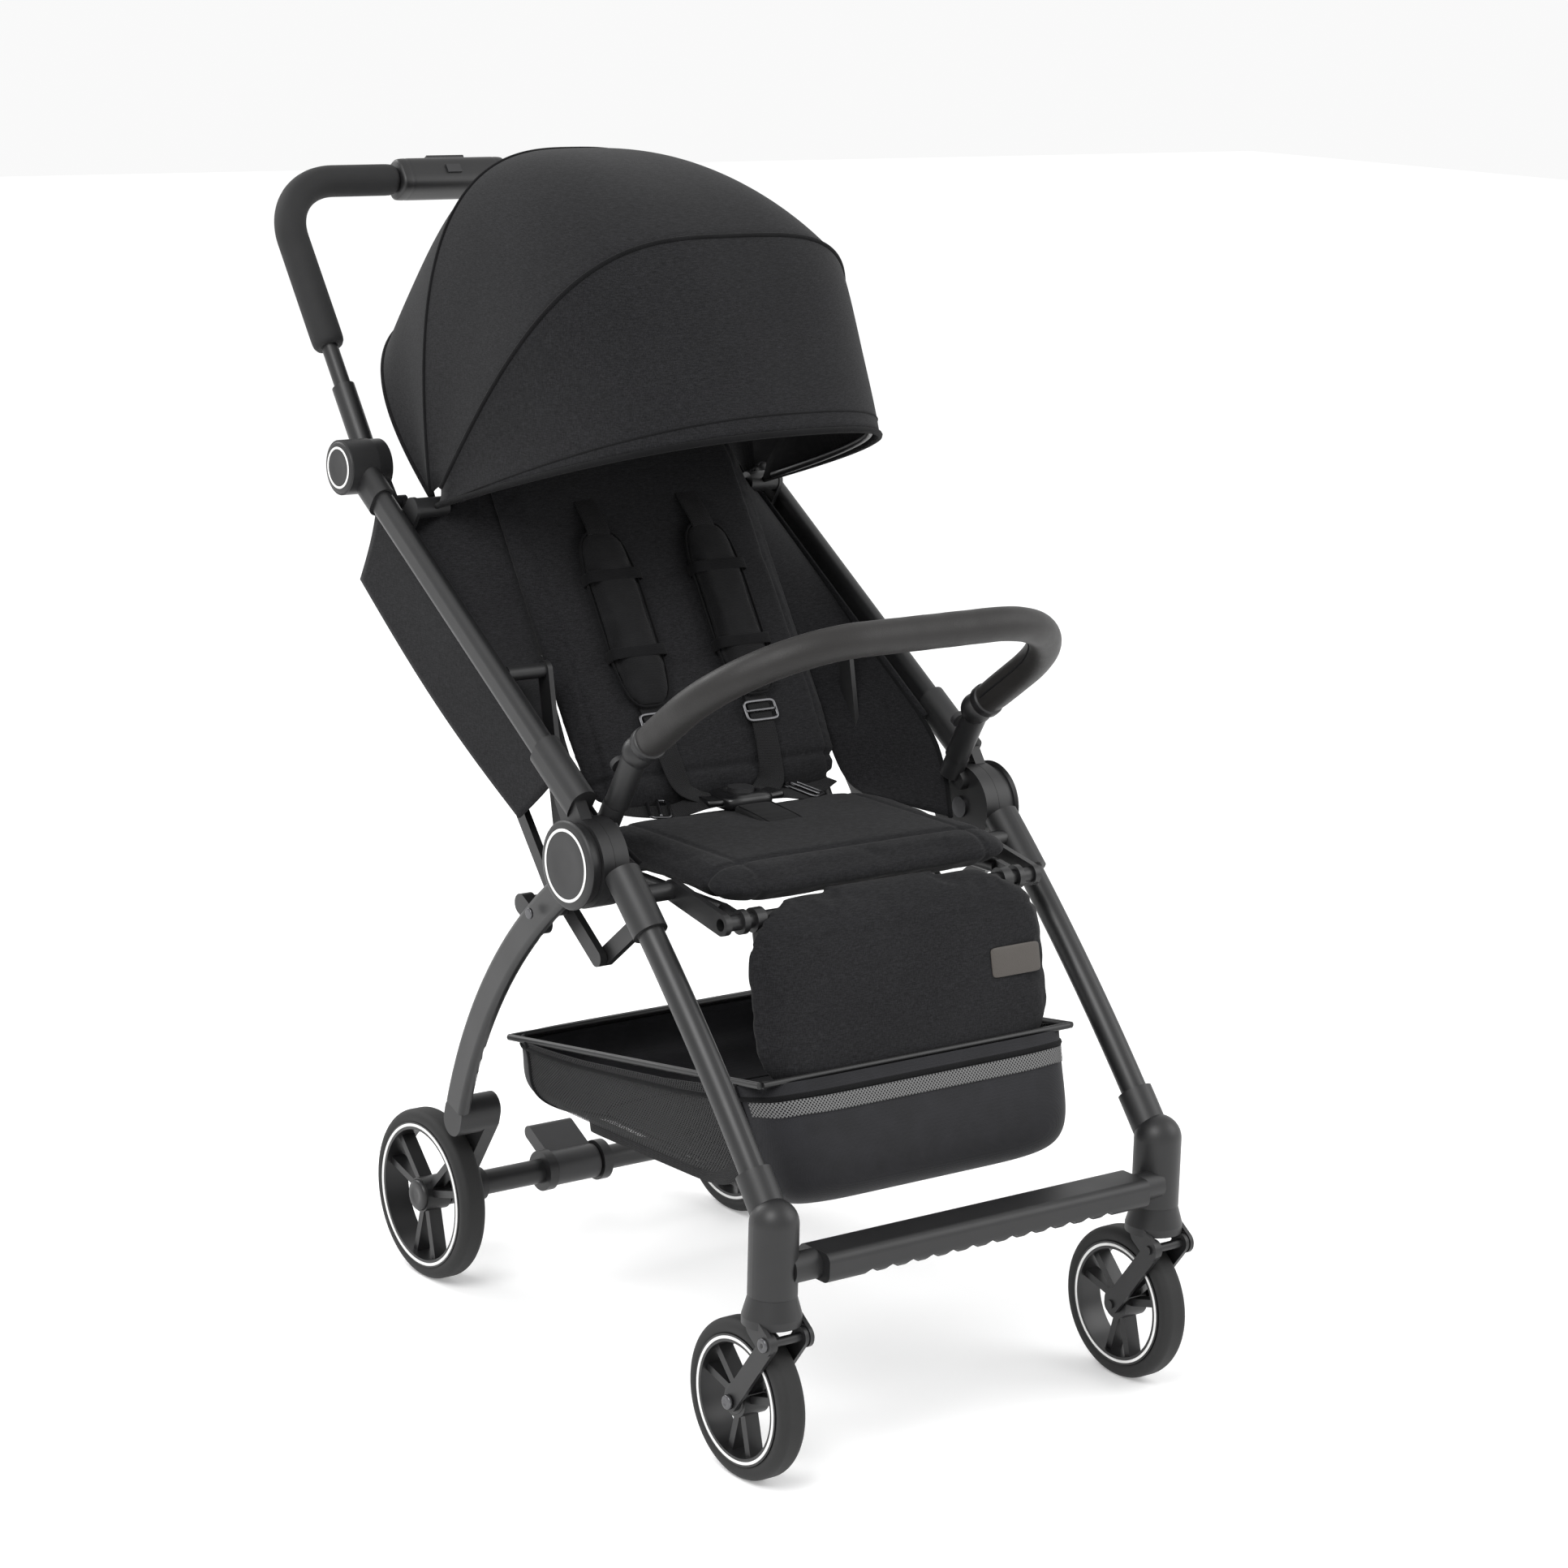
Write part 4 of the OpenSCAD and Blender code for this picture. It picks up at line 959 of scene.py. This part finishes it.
def cap_on_side(name: str, centre: Array, face_x: float, radius: float, height: float,
                dish: float = 0.0, count: int = 64) -> bpy.types.Object:
    """Round cap on a side face: height follows a superellipse over the radius, with a dish in the middle.

    Args:
        name: the piece's name.
        centre: place of the axis.
        face_x: signed distance of the face that it stands on.
        radius: outer radius.
        height: how far it stands out.
        dish: depth of the hollow in its middle.
        count: points round it.

    Returns:
        The cap.
    """
    r = radius * np.concatenate([[0.0], np.linspace(0.08, 1, 22) ** 0.8])
    top = height * np.clip(1 - (r / radius) ** 7, 0, 1) ** 0.4 - dish * np.exp(-((r / (0.45 * radius)) ** 4))
    side = math.copysign(1, face_x)
    profile = np.concatenate([np.stack([face_x + side * top, r], -1),
                              [[face_x - side * 0.001, radius], [face_x - side * 0.001, 0.0]]])
    return grid_object(name, lathe_points(profile, centre * [0, 1, 1], count), wrap_u=True, poles=True)


# --- harness -----------------------------------------------------------------


@dataclass
class Harness:
    """Five-point harness: shoulder pads, webbing, sliders, crotch pad and buckle."""

    across: float = 0.060
    pad_half: tuple[float, float, float] = (0.0285, 0.088, 0.0065)
    pad_mid: float = 0.205
    pad_out: float = 0.0500
    web: float = 0.025

    def back(self, x: float, along: float, out: float) -> Array:
        """Point on the backrest, by distance across, up the slope and out of it."""
        return RECLINE + BACK_UP * along + BACK_OUT * out + ACROSS * x

    def slider(self, name: str, centre: Array, along: Array, out: Array, body: str) -> None:
        """Metal tri-glide: a rounded frame with a middle bar, its webbing passing through."""
        side = np.cross(along, out)
        turn = np.linspace(0, 2 * np.pi, 65)
        loop = superellipse(turn, 0.0175, 0.0095, 6)
        path = centre + loop[:, :1] * side + loop[:, 1:] * along
        frame_part = grid_object(name + "_loop", sweep_points(path[:-1], ring_section(0.0016, 0.0013, 3, 10), out),
                                 wrap_u=True, wrap_v=True)
        bar_path = centre + np.linspace(-0.0165, 0.0165, 12)[:, None] * side + out * 0.0006
        bar = tube(name + "_bar", bar_path, 0.0016, out, count=10)
        dress(join(name, [frame_part, bar]), STEEL, body)

    def shoulder(self, s: int) -> None:
        """One shoulder pad with its webbing, loop and slider."""
        name = SIDE_NAME[s]
        pad = Pad(f"shoulder_pad_{name}", self.back(s * self.across, self.pad_mid, self.pad_out),
                  np.array([ACROSS, BACK_UP, BACK_OUT]), self.pad_half, corner=3.6, edge=2.6,
                  seams=lambda q: groove(np.minimum(np.abs(np.abs(q[:, 0]) - 0.0235), 0.01), 0.0012, 0.0009)
                  * (np.abs(q[:, 1]) < 0.078), puff=0.003, voxel=0.003)
        piece = pad.build()
        dress(piece, KNIT, "backrest")
        if s < 0:
            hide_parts("shoulder_pads")
        upper = strap(f"shoulder_web_upper_{name}", smooth_path([
            self.back(s * 0.058, 0.345, 0.026), self.back(s * 0.058, 0.330, 0.041), self.back(s * 0.059, 0.30, 0.050),
            self.back(s * 0.060, 0.288, 0.0510)], 40), self.web, 0.0016, BACK_OUT)
        dress(upper, WEBBING, "backrest")
        if s < 0:
            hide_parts("harness_straps")
        path = smooth_path([self.back(s * 0.060, 0.20, 0.0445), self.back(s * 0.060, 0.130, 0.0450),
                            self.back(s * 0.058, 0.085, 0.046), at(378, 519, s * 52), at(368, 508, s * 40),
                            at(361, 505, s * 27)], 60)
        face = np.linspace(0, 1, 60)[:, None] ** 2
        lower = strap(f"shoulder_web_lower_{name}", path, self.web, 0.0016,
                      BACK_OUT * (1 - face) + np.array([0, -0.2, 1]) * face)
        dress(lower, WEBBING, "seat_base")
        for k, place in enumerate((0.168, 0.246)):
            turn = np.linspace(0, 2 * np.pi, 40, endpoint=False)
            loop = superellipse(turn, 0.0302, 0.0088, 5)
            band = self.back(s * self.across, place, self.pad_out + 0.0002) + loop[:, :1] * ACROSS + loop[:, 1:] * BACK_OUT
            piece = grid_object(f"shoulder_loop_{name}_{k}", sweep_points(
                band, ring_section(0.0055, 0.0005, 4, 10), BACK_UP[None] * 0 + np.cross(
                    np.gradient(np.concatenate([band[-1:], band, band[:1]]), axis=0)[1:-1], BACK_UP)),
                wrap_u=True, wrap_v=True)
            dress(piece, PIPING, "backrest")
        border = superellipse(np.linspace(0, 2 * np.pi, 97)[:-1], 0.0288, 0.0886, 3.6)
        edge = self.back(s * self.across, self.pad_mid, self.pad_out - 0.0003) + border[:, :1] * ACROSS \
            + border[:, 1:] * BACK_UP
        dress(grid_object(f"shoulder_pad_piping_{name}", sweep_points(edge, ring_section(0.0013, 0.0013, count=8),
                                                                     BACK_OUT), wrap_u=True, wrap_v=True),
              PIPING, "backrest")
        self.slider(f"shoulder_slider_{name}", self.back(s * 0.059, 0.100, 0.0475), BACK_UP, BACK_OUT, "backrest")

    def waist(self, s: int) -> None:
        """One waist strap from the buckle to the corner of the seat, with its slider."""
        name = SIDE_NAME[s]
        points = [at(358, 505, s * 24), at(357, 504, s * 45), at(362, 498.5, s * 72), at(376, 499, s * 100),
                  at(388, 503, s * 124)]
        piece = strap(f"waist_web_{name}", smooth_path(points, 50), self.web, 0.0016, np.array([0, -0.25, 1.0]))
        dress(piece, WEBBING, "seat_base")
        along = points[3] - points[2]
        self.slider(f"waist_slider_{name}", points[2] * 0.6 + points[3] * 0.4 + [0, 0, 0.0022],
                    along / np.linalg.norm(along), np.array([0, -0.25, 0.97]), "seat_base")

    def crotch(self) -> None:
        """Crotch strap in its padded sleeve."""
        path = smooth_path([at(262, 486), at(274, 491.5), at(292, 495), at(315, 497.5), at(336, 499.5)], 40)
        grow = 1 - 0.06 * np.cos(np.linspace(0, np.pi * 2, 40))
        sleeve = grid_object("crotch_pad", sweep_points(path, ring_section(0.0225, 0.0042, 4.5, 28),
                                                        np.array([0, 0, 1.0]), grow), wrap_v=True, caps=True)
        round_off(sleeve)
        finish_modifiers(sleeve)
        dress(sleeve, KNIT, "seat_base")
        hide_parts("crotch_strap")
        for s in SIDES:
            line = path[2:-2] + ACROSS * s * 0.0185 + [0, 0, 0.0040]
            dress(tube(f"crotch_stitch_{SIDE_NAME[s]}", line, 0.0007, np.array([0, 0, 1.0]), count=6),
                  PIPING, "seat_base")

    def buckle(self) -> None:
        """Round-shouldered buckle body with its tongues; the release button stays the CAD one."""
        centre = at(358, 0)
        rise = np.linspace(-np.pi / 2, np.pi / 2, 25)
        turn = np.linspace(0, 2 * np.pi, 72, endpoint=False)
        outline = superellipse(turn, 0.0275, 0.0235, 3.4)
        outline[:, 1] -= 0.0035 * (np.abs(outline[:, 0]) / 0.0275) ** 2
        out = signed_power(np.cos(rise), 0.45)[:, None, None]
        up = np.broadcast_to((0.5035 + 0.0080 * signed_power(np.sin(rise), 0.6))[:, None, None], (25, 72, 1))
        plan = np.broadcast_to(out * outline[None], (25, 72, 2))
        dip = 0.0035 * (np.hypot(plan[..., :1], plan[..., 1:]) < 0.0138) * (up > 0.506)
        grid = np.concatenate([plan[..., :1], centre[1] + plan[..., 1:], up - dip], -1)
        body = grid_object("buckle_body", grid, wrap_v=True, caps=True)
        dress(body, BUCKLE_PLASTIC, "seat_base")
        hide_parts("harness_buckle")
        for s in SIDES:
            path = smooth_path([at(359, 504, s * 22), at(359, 504.3, s * 32), at(360, 504.8, s * 41)], 16)
            tongue = strap(f"buckle_tongue_{SIDE_NAME[s]}", path, 0.030, 0.0065, np.array([0, 0, 1.0]))
            dress(tongue, BUCKLE_PLASTIC, "seat_base")

    def build(self) -> None:
        """Makes the whole harness."""
        for s in SIDES:
            self.shoulder(s)
            self.waist(s)
        self.crotch()
        self.buckle()


# --- basket ------------------------------------------------------------------


@dataclass
class Basket:
    """Storage basket: nylon front, floor and rear, net sides, bindings and straps."""

    half: float = 0.180
    front_top: tuple[float, float] = (72, 328)
    front_low: tuple[float, float] = (24, 206)
    rear_top: tuple[float, float] = (480, 272)
    rear_low: tuple[float, float] = (497, 203)

    def surface(self, turn: Array, drop: Array) -> Array:
        """Point of the bag: a squarish outline that shrinks as cos^(2/5) while the depth grows as sin^(2/5).

        The front and rear walls lean as the side view says, the long edges dip between the
        corners, the walls draw in a little half way down and the floor sags in the middle.
        """
        out = np.abs(np.cos(drop)) ** 0.36
        down = np.abs(np.sin(drop)) ** 0.42
        across = out * self.half * signed_power(np.cos(turn), 2 / 9)
        along = (1 + out * signed_power(np.sin(turn), 2 / 9)) / 2
        pinch = 1 - 0.045 * np.sin(np.pi * down) * np.abs(np.cos(turn)) ** 0.5
        front_y = self.front_top[0] + (self.front_low[0] - self.front_top[0]) * down
        rear_y = self.rear_top[0] + (self.rear_low[0] - self.rear_top[0]) * down
        y = front_y + (rear_y - front_y) * along
        top = self.front_top[1] + (self.rear_top[1] - self.front_top[1]) * along
        top = top - 9 * np.sin(np.pi * along) * smoothstep(0.5, 0.95, np.abs(across) / self.half)
        low = self.front_low[1] + (self.rear_low[1] - self.front_low[1]) * along
        z = top + (low - top) * down + 2.5 * np.sin(turn * 9) * out * np.sin(np.pi * down) * 0.3
        return np.stack([across * pinch, CASTER[1] + y / 1000, z / 1000], -1)

    def part(self, name: str, turns: tuple[float, float], drops: tuple[float, float], finish: Finish,
             cut: Cut, counts: tuple[int, int] = (90, 40)) -> bpy.types.Object:
        """One cloth of the bag over a range of turn and drop."""
        turn, drop = np.meshgrid(np.linspace(*turns, counts[0]), np.linspace(*drops, counts[1]), indexing="ij")
        piece = thicken(grid_object(name, self.surface(turn, drop)), 0.0012)
        dress(piece, finish, None)
        self.flatten(piece)
        return piece

    def flatten(self, piece: bpy.types.Object) -> None:
        """Gives a piece of the bag its own mesh and hangs it on the front frame."""
        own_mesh(piece)
        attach(piece, "front_frame")

    def line(self, name: str, turn: Array, drop: Array, radius: float, finish: Finish,
             face: tuple[float, float, float] = (0, 0, 1)) -> None:
        """Binding along a line on the bag."""
        path = self.surface(turn, drop)
        piece = tube(name, path, radius, np.array(face, float), count=8)
        dress(piece, finish, None)
        self.flatten(piece)

    def build(self) -> None:
        """Makes the cloths, bindings and side straps."""
        quarter = math.pi / 2
        corner = 0.30
        self.part("basket_front_panel", (-quarter - 1.18, -quarter + 1.18), (0.0, 1.25), NYLON,
                  BASKET_FRONT_CUT)
        self.part("basket_rear_panel", (quarter - 1.18, quarter + 1.18), (0.0, 1.25), NYLON,
                  BASKET_REAR_CUT)
        for s in SIDES:
            mid = 0 if s > 0 else math.pi
            self.part(f"basket_side_net_{SIDE_NAME[s]}", (mid - 0.39, mid + 0.39), (0.0, 1.25), NET,
                      BASKET_SIDE_CUT)
        floor = self.part("basket_floor", (0, 2 * math.pi), (1.25, 1.5707), NYLON, BASKET_FLOOR_CUT, (180, 24))
        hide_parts("basket_bag")
        turn = np.linspace(0, 2 * np.pi, 240)
        self.line("basket_rim_binding", turn, np.full(240, 0.004), 0.0026, PIPING)
        self.line("basket_floor_piping", turn, np.full(240, 1.25), 0.0016, PIPING)
        for k, edge in enumerate((0.39, math.pi - 0.39, math.pi + 0.39, -0.39)):
            drop = np.linspace(0, 1.25, 40)
            self.line(f"basket_corner_binding_{k}", np.full(40, edge), drop, 0.0024, PIPING, (1, 0.3, 0))
        for s in SIDES:
            mid = 0 if s > 0 else math.pi
            across = np.linspace(-0.30, 0.16, 50) * (1 if s > 0 else -1)
            path = self.surface(mid + across, np.linspace(0.10, 1.1, 50)) + ACROSS * s * 0.002
            piece = strap(f"basket_side_strap_{SIDE_NAME[s]}", path, 0.016, 0.0016, ACROSS * s)
            dress(piece, WEBBING, None)
            self.flatten(piece)
        turn = np.linspace(-quarter - 1.1, -quarter + 1.1, 80)
        drop = np.linspace(0.006, 0.028, 6)
        t, d = np.meshgrid(turn, drop, indexing="ij")
        strip = thicken(grid_object("basket_front_strip", self.surface(t, d) - [0, 0.0018, 0]), 0.0010)
        dress(strip, LIGHT_NET, None)
        self.flatten(strip)


# --- trim on the frame -------------------------------------------------------


@dataclass(frozen=True)
class Mark:
    """One round trim piece on a side face.

    Args:
        name: name without its side.
        body: the CAD body; {side} stands for right or left.
        place: side-view place, millimetres.
        face: distance of the face from the middle, millimetres.
        radius: outer radius, millimetres.
        proud: how far it stands out, millimetres.
        finish: its material.
        slot: the record's material slot; not used.
        ring: width of the band for a ring, or 0 for a full cap.
    """

    name: str
    body: str
    place: tuple[float, float]
    face: float
    radius: float
    proud: float
    finish: Finish
    slot: str
    ring: float = 0.0
    dish: float = 0.0

    def build(self) -> None:
        """Makes the piece on both sides."""
        for s in SIDES:
            name = f"{self.name}_{SIDE_NAME[s]}"
            centre, face = at(*self.place), s * self.face / 1000
            if self.ring:
                piece = ring_on_side(name, centre, face, self.radius / 1000, self.ring / 1000, self.proud / 1000)
            else:
                piece = cap_on_side(name, centre, face, self.radius / 1000, self.proud / 1000, self.dish / 1000)
            dress(piece, self.finish, self.body.format(side=SIDE_NAME[s]))


FRONT_WHEEL = (32.0, 70.5)
REAR_WHEEL = (597.6, 83.3)
HUB_AT = (280.0, 487.0)
TOP_AT = (676.56, 785.54)
MARKS = (
    Mark("front_wheel_ring", "front_wheel_{side}", FRONT_WHEEL, 228.0, 54.4, 0.8, WHITE_RING, "rim_plastic", 2.6),
    Mark("front_wheel_inner_ring", "front_wheel_{side}", FRONT_WHEEL, 202.0, 54.4, -0.8, WHITE_RING,
         "rim_plastic", 2.6),
    Mark("rear_wheel_inner_ring", "rear_wheel_{side}", REAR_WHEEL, 170.6, 68.4, -0.9, WHITE_RING,
         "rim_plastic", 2.8),
    Mark("front_wheel_cap", "front_wheel_{side}", FRONT_WHEEL, 228.0, 12.0, 1.2, RIM_PLASTIC, "rim_plastic"),
    Mark("rear_wheel_ring", "rear_wheel_{side}", REAR_WHEEL, 196.6, 68.4, 0.9, WHITE_RING, "rim_plastic", 2.8),
    Mark("rear_wheel_cap", "rear_wheel_{side}", REAR_WHEEL, 196.6, 15.5, 4.5, RIM_PLASTIC, "rim_plastic", dish=0.8),
    Mark("hub_cap", "rear_frame", HUB_AT, 240.0, 40.0, 3.2, HUB_PLASTIC, "hub_plastic", dish=0.6),
    Mark("hub_ring", "rear_frame", HUB_AT, 243.1, 31.4, 0.5, WHITE_RING, "hub_plastic", 2.6),
    Mark("top_hinge_cap", "rail_frame", TOP_AT, 238.9, 24.5, 2.2, HUB_PLASTIC, "hub_plastic", dish=0.4),
    Mark("top_hinge_ring", "rail_frame", TOP_AT, 241.0, 18.6, 0.5, WHITE_RING, "hub_plastic", 2.2),
    Mark("front_axle_bolt", "arm_{side}", FRONT_WHEEL, 235.5, 6.5, 2.6, STEEL, "pin_steel", dish=0.8),
    Mark("suspension_bolt", "caster_{side}", (-20.0, 139.0), 238.2, 6.5, 2.4, STEEL, "pin_steel", dish=0.8),
    Mark("front_brace_rivet", "front_brace_pair", (290.0, 395.0), 196.0, 5.0, 1.6, STEEL, "pin_steel"),
    Mark("rear_brace_rivet", "rear_frame", (340.0, 430.0), 241.0, 5.0, 1.6, STEEL, "pin_steel"),
    Mark("strut_rivet", "strut_pair", (378.0, 428.0), 184.0, 4.8, -1.6, STEEL, "pin_steel"),
)


@dataclass
class Trim:
    """Sleeve seams, bumper collars, grips, housings and caps that the frame carries."""

    sleeve_seam: float = 0.0011

    def bumper(self) -> None:
        """Padded bumper sleeve with its seam and end collars."""
        low, high = node_box("bumper_sleeve")
        elbow = at(247, 589)
        reach = slope(180 - BUMPER_TILT)
        rise = slope(90 - BUMPER_TILT)
        half, bend, length, start = 0.190, 0.120, 0.196, 0.0185
        arc = np.linspace(0, np.pi / 2, 40)
        straight = np.linspace(start, length - bend, 12)[:-1]
        one = np.concatenate([np.stack([np.full(11, half), straight], -1),
                              np.stack([half - bend + bend * np.cos(arc), length - bend + bend * np.sin(arc)], -1)])
        plan = np.concatenate([one, one[::-1] * [-1, 1]])
        path = resample(elbow + plan[:, :1] * ACROSS + plan[:, 1:] * reach, 150)
        run = np.linspace(-1, 1, 150)
        grow = (1 - 0.10 * np.abs(run) ** 40) * (1 + 0.006 * np.sin(run * 55) * (1 - np.abs(run)))
        sleeve = grid_object("bumper_padding", sweep_points(path, ring_section(0.0152, 0.0150, 2.15, 36), rise, grow),
                             wrap_v=True, caps=True)
        dress(sleeve, BUMPER_LEATHER, "bumper_bar")
        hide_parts("bumper_sleeve")
        tangent = np.gradient(path, axis=0)
        tangent /= np.linalg.norm(tangent, axis=1)[:, None]
        inner = np.cross(tangent, rise)
        toward = inner * np.sign((inner * (elbow + reach * 0.05 - path)).sum(1))[:, None]
        seam = path[2:-2] + toward[2:-2] * 0.0149
        dress(tube("bumper_seam", seam, self.sleeve_seam, rise, count=8), PIPING, "bumper_bar")
        for s in SIDES:
            end = elbow + ACROSS * s * half
            line = end + np.linspace(0.0125, 0.0215, 8)[:, None] * reach
            collar = tube(f"bumper_collar_{SIDE_NAME[s]}", line, 0.0162, rise, 1 - 0.05 * np.linspace(-1, 1, 8) ** 8, 48)
            dress(collar, CASTER_PLASTIC, "bumper_bar")

    def grips(self) -> None:
        """Foam grips with soft rounded ends, reaching in to the control housing."""
        start = TOP - 0.013 * slope(HANDLE_SLOPE + 90)
        up, face = slope(HANDLE_SLOPE), slope(HANDLE_SLOPE + 90)
        half, bend, length, first, last = 0.198, 0.065, 0.319, 0.136, 0.0635
        arc = np.linspace(0, np.pi / 2, 40)
        plan = np.concatenate([
            np.stack([np.full(12, half), np.linspace(first, length - bend, 13)[:-1]], -1),
            np.stack([half - bend + bend * np.cos(arc), length - bend + bend * np.sin(arc)], -1),
            np.stack([np.linspace(half - bend, last, 13)[1:], np.full(12, length)], -1)])
        for s in SIDES:
            path = resample(start + s * plan[:, :1] * ACROSS + plan[:, 1:] * up, 100)
            run = np.linspace(-1, 1, 100)
            grow = 1 - 0.16 * np.abs(run) ** 60
            grip = grid_object(f"foam_grip_{SIDE_NAME[s]}", sweep_points(path, ring_section(0.0155, 0.0155, 2, 36),
                                                                        face, grow), wrap_v=True, caps=True)
            dress(grip, FOAM, "push_handle")
            if s < 0:
                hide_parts("handle_grips")

    def control(self) -> None:
        """Rounded fold-control housing with a parting line, replacing the plain one."""
        centre = TOP - 0.013 * slope(HANDLE_SLOPE + 90) + 0.319 * slope(HANDLE_SLOPE)
        up, face = slope(HANDLE_SLOPE), slope(HANDLE_SLOPE + 90)
        run = np.linspace(-1, 1, 80)
        grow = (1 - np.abs(run) ** 14) ** 0.25 * 0.16 + 0.84 - 0.014 * np.exp(-((np.abs(run) - 0.82) / 0.012) ** 2)
        path = centre + run[:, None] * 0.062 * ACROSS
        body = grid_object("control_housing", sweep_points(path, ring_section(0.0185, 0.0185, 3.2, 56), face, grow),
                           wrap_v=True, caps=True)
        dress(body, CASTER_PLASTIC, "push_handle")
        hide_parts("handle_control")

    def build(self) -> None:
        """Makes all the trim."""
        for mark in MARKS:
            mark.build()
        self.bumper()
        self.grips()
        self.control()


# --- camera and room ---------------------------------------------------------


@dataclass
class Studio:
    """Camera, floor and lights."""

    azimuth: float = -36.923
    elevation: float = 12.844
    roll: float = 1.505
    lens: float = 87.37
    place: tuple[float, float, float] = (-2.0291, -2.4117, 1.3006)

    def camera(self) -> None:
        """Camera at the viewing angle, measured from the front casters."""
        a, e, r = (math.radians(v) for v in (self.azimuth, self.elevation, self.roll))
        back = Vector((math.sin(a) * math.cos(e), -math.cos(a) * math.cos(e), math.sin(e)))
        right = Vector((0, 0, 1)).cross(back).normalized()
        up = back.cross(right)
        turned_right = right * math.cos(r) + up * math.sin(r)
        turned_up = up * math.cos(r) - right * math.sin(r)
        data = bpy.data.cameras.new("camera")
        data.lens = self.lens
        data.sensor_width = 36
        data.clip_end = 50
        camera = bpy.data.objects.new("camera", data)
        bpy.context.scene.collection.objects.link(camera)
        turn = Matrix((turned_right, turned_up, back)).transposed().to_4x4()
        where = Vector(self.place) + Vector((0, float(CASTER[1]), 0))
        camera.matrix_world = Matrix.Translation(where) @ turn
        bpy.context.scene.camera = camera

    def light(self, name: str, where: Sequence[float], size: float, power: float) -> None:
        """Square soft light aimed at the seat."""
        data = bpy.data.lights.new(name, "AREA")
        data.size = size
        data.energy = power
        lamp = bpy.data.objects.new(name, data)
        lamp.location = where
        lamp.rotation_euler = (Vector(where) - Vector((0, 0, 0.5))).to_track_quat("Z", "Y").to_euler()
        bpy.context.scene.collection.objects.link(lamp)

    def build(self) -> None:
        """Makes the camera, the pale floor and the soft lights."""
        self.camera()
        world = bpy.data.worlds.new("studio")
        world.use_nodes = True
        world.node_tree.nodes["Background"].inputs["Color"].default_value = (1, 1, 1, 1)
        world.node_tree.nodes["Background"].inputs["Strength"].default_value = 0.95
        bpy.context.scene.world = world
        self.light("key_light", (-2.2, -1.4, 3.0), 1.8, 75)
        self.light("fill_light", (2.6, -2.0, 2.2), 2.4, 42)
        self.light("rim_light", (-1.0, 3.0, 2.6), 1.6, 50)
        mesh = bpy.data.meshes.new("floor")
        half = 14.0
        mesh.from_pydata([(-half, -half, 0), (half, -half, 0), (half, half, 0), (-half, half, 0)], [], [(0, 1, 2, 3)])
        floor = bpy.data.objects.new("floor", mesh)
        bpy.context.scene.collection.objects.link(floor)
        paint = material_of(Finish("pale_floor", (0.86, 0.86, 0.86), 0.9, specular=0.0))
        shader = next(n for n in paint.node_tree.nodes if n.type == "BSDF_PRINCIPLED")
        shader.inputs["Emission Color"].default_value = (1, 1, 1, 1)
        shader.inputs["Emission Strength"].default_value = 0.22
        mesh.materials.append(paint)
        scene = bpy.context.scene
        scene.view_settings.view_transform = "Standard"


NODE_FINISHES: dict[Finish, tuple[str, ...]] = {
    TUBE_PAINT: ("front_legs", "seat_rails", "rear_legs", "rear_axle", "side_struts", "front_brace_arms",
                 "rear_brace_arms", "handle_tube", "seat_frame", "backrest_frame", "legrest_frame",
                 "seat_brackets", "basket_rim"),
    HUB_PLASTIC: ("front_hub_plates", "footrest_stubs", "bumper_mounts", "rail_sockets", "top_hinge_housings",
                  "recline_brackets", "canopy_clamps", "rear_wheel_brackets", "handle_control"),
    CASTER_PLASTIC: ("caster_housings", "footrest_bar", "caster_head_right", "caster_head_left",
                     "suspension_arm_right", "suspension_arm_left", "bumper_frame"),
    BUTTON_PLASTIC: ("brake_pedal", "fold_button", "fold_lock_slider", "buckle_button", "bumper_buttons"),
    BUCKLE_PLASTIC: ("harness_buckle",),
    FOAM: ("handle_grips",),
    STEEL: ("hub_pins",),
    BUMPER_LEATHER: ("bumper_sleeve",),
    KNIT: ("shoulder_pads", "crotch_strap"),
    WEBBING: ("harness_straps",),
    NYLON: ("basket_bag",),
    TYRE: tuple(f"{w}_wheel_{s}_tyre" for w in ("front", "rear") for s in ("right", "left")),
    RIM_PLASTIC: tuple(f"{w}_wheel_{s}_rim" for w in ("front", "rear") for s in ("right", "left")),
}


def main() -> None:
    """Builds the stroller's pieces in order."""
    logging.basicConfig(level=logging.INFO, format="%(name)s: %(message)s")
    Studio().build()
    for finish, names in NODE_FINISHES.items():
        for name in names:
            paint_node(name, finish)
    for assembly in (Canopy(), Seat(), Harness(), Basket(), Trim()):
        assembly.build()


if __name__ == "__main__":
    main()
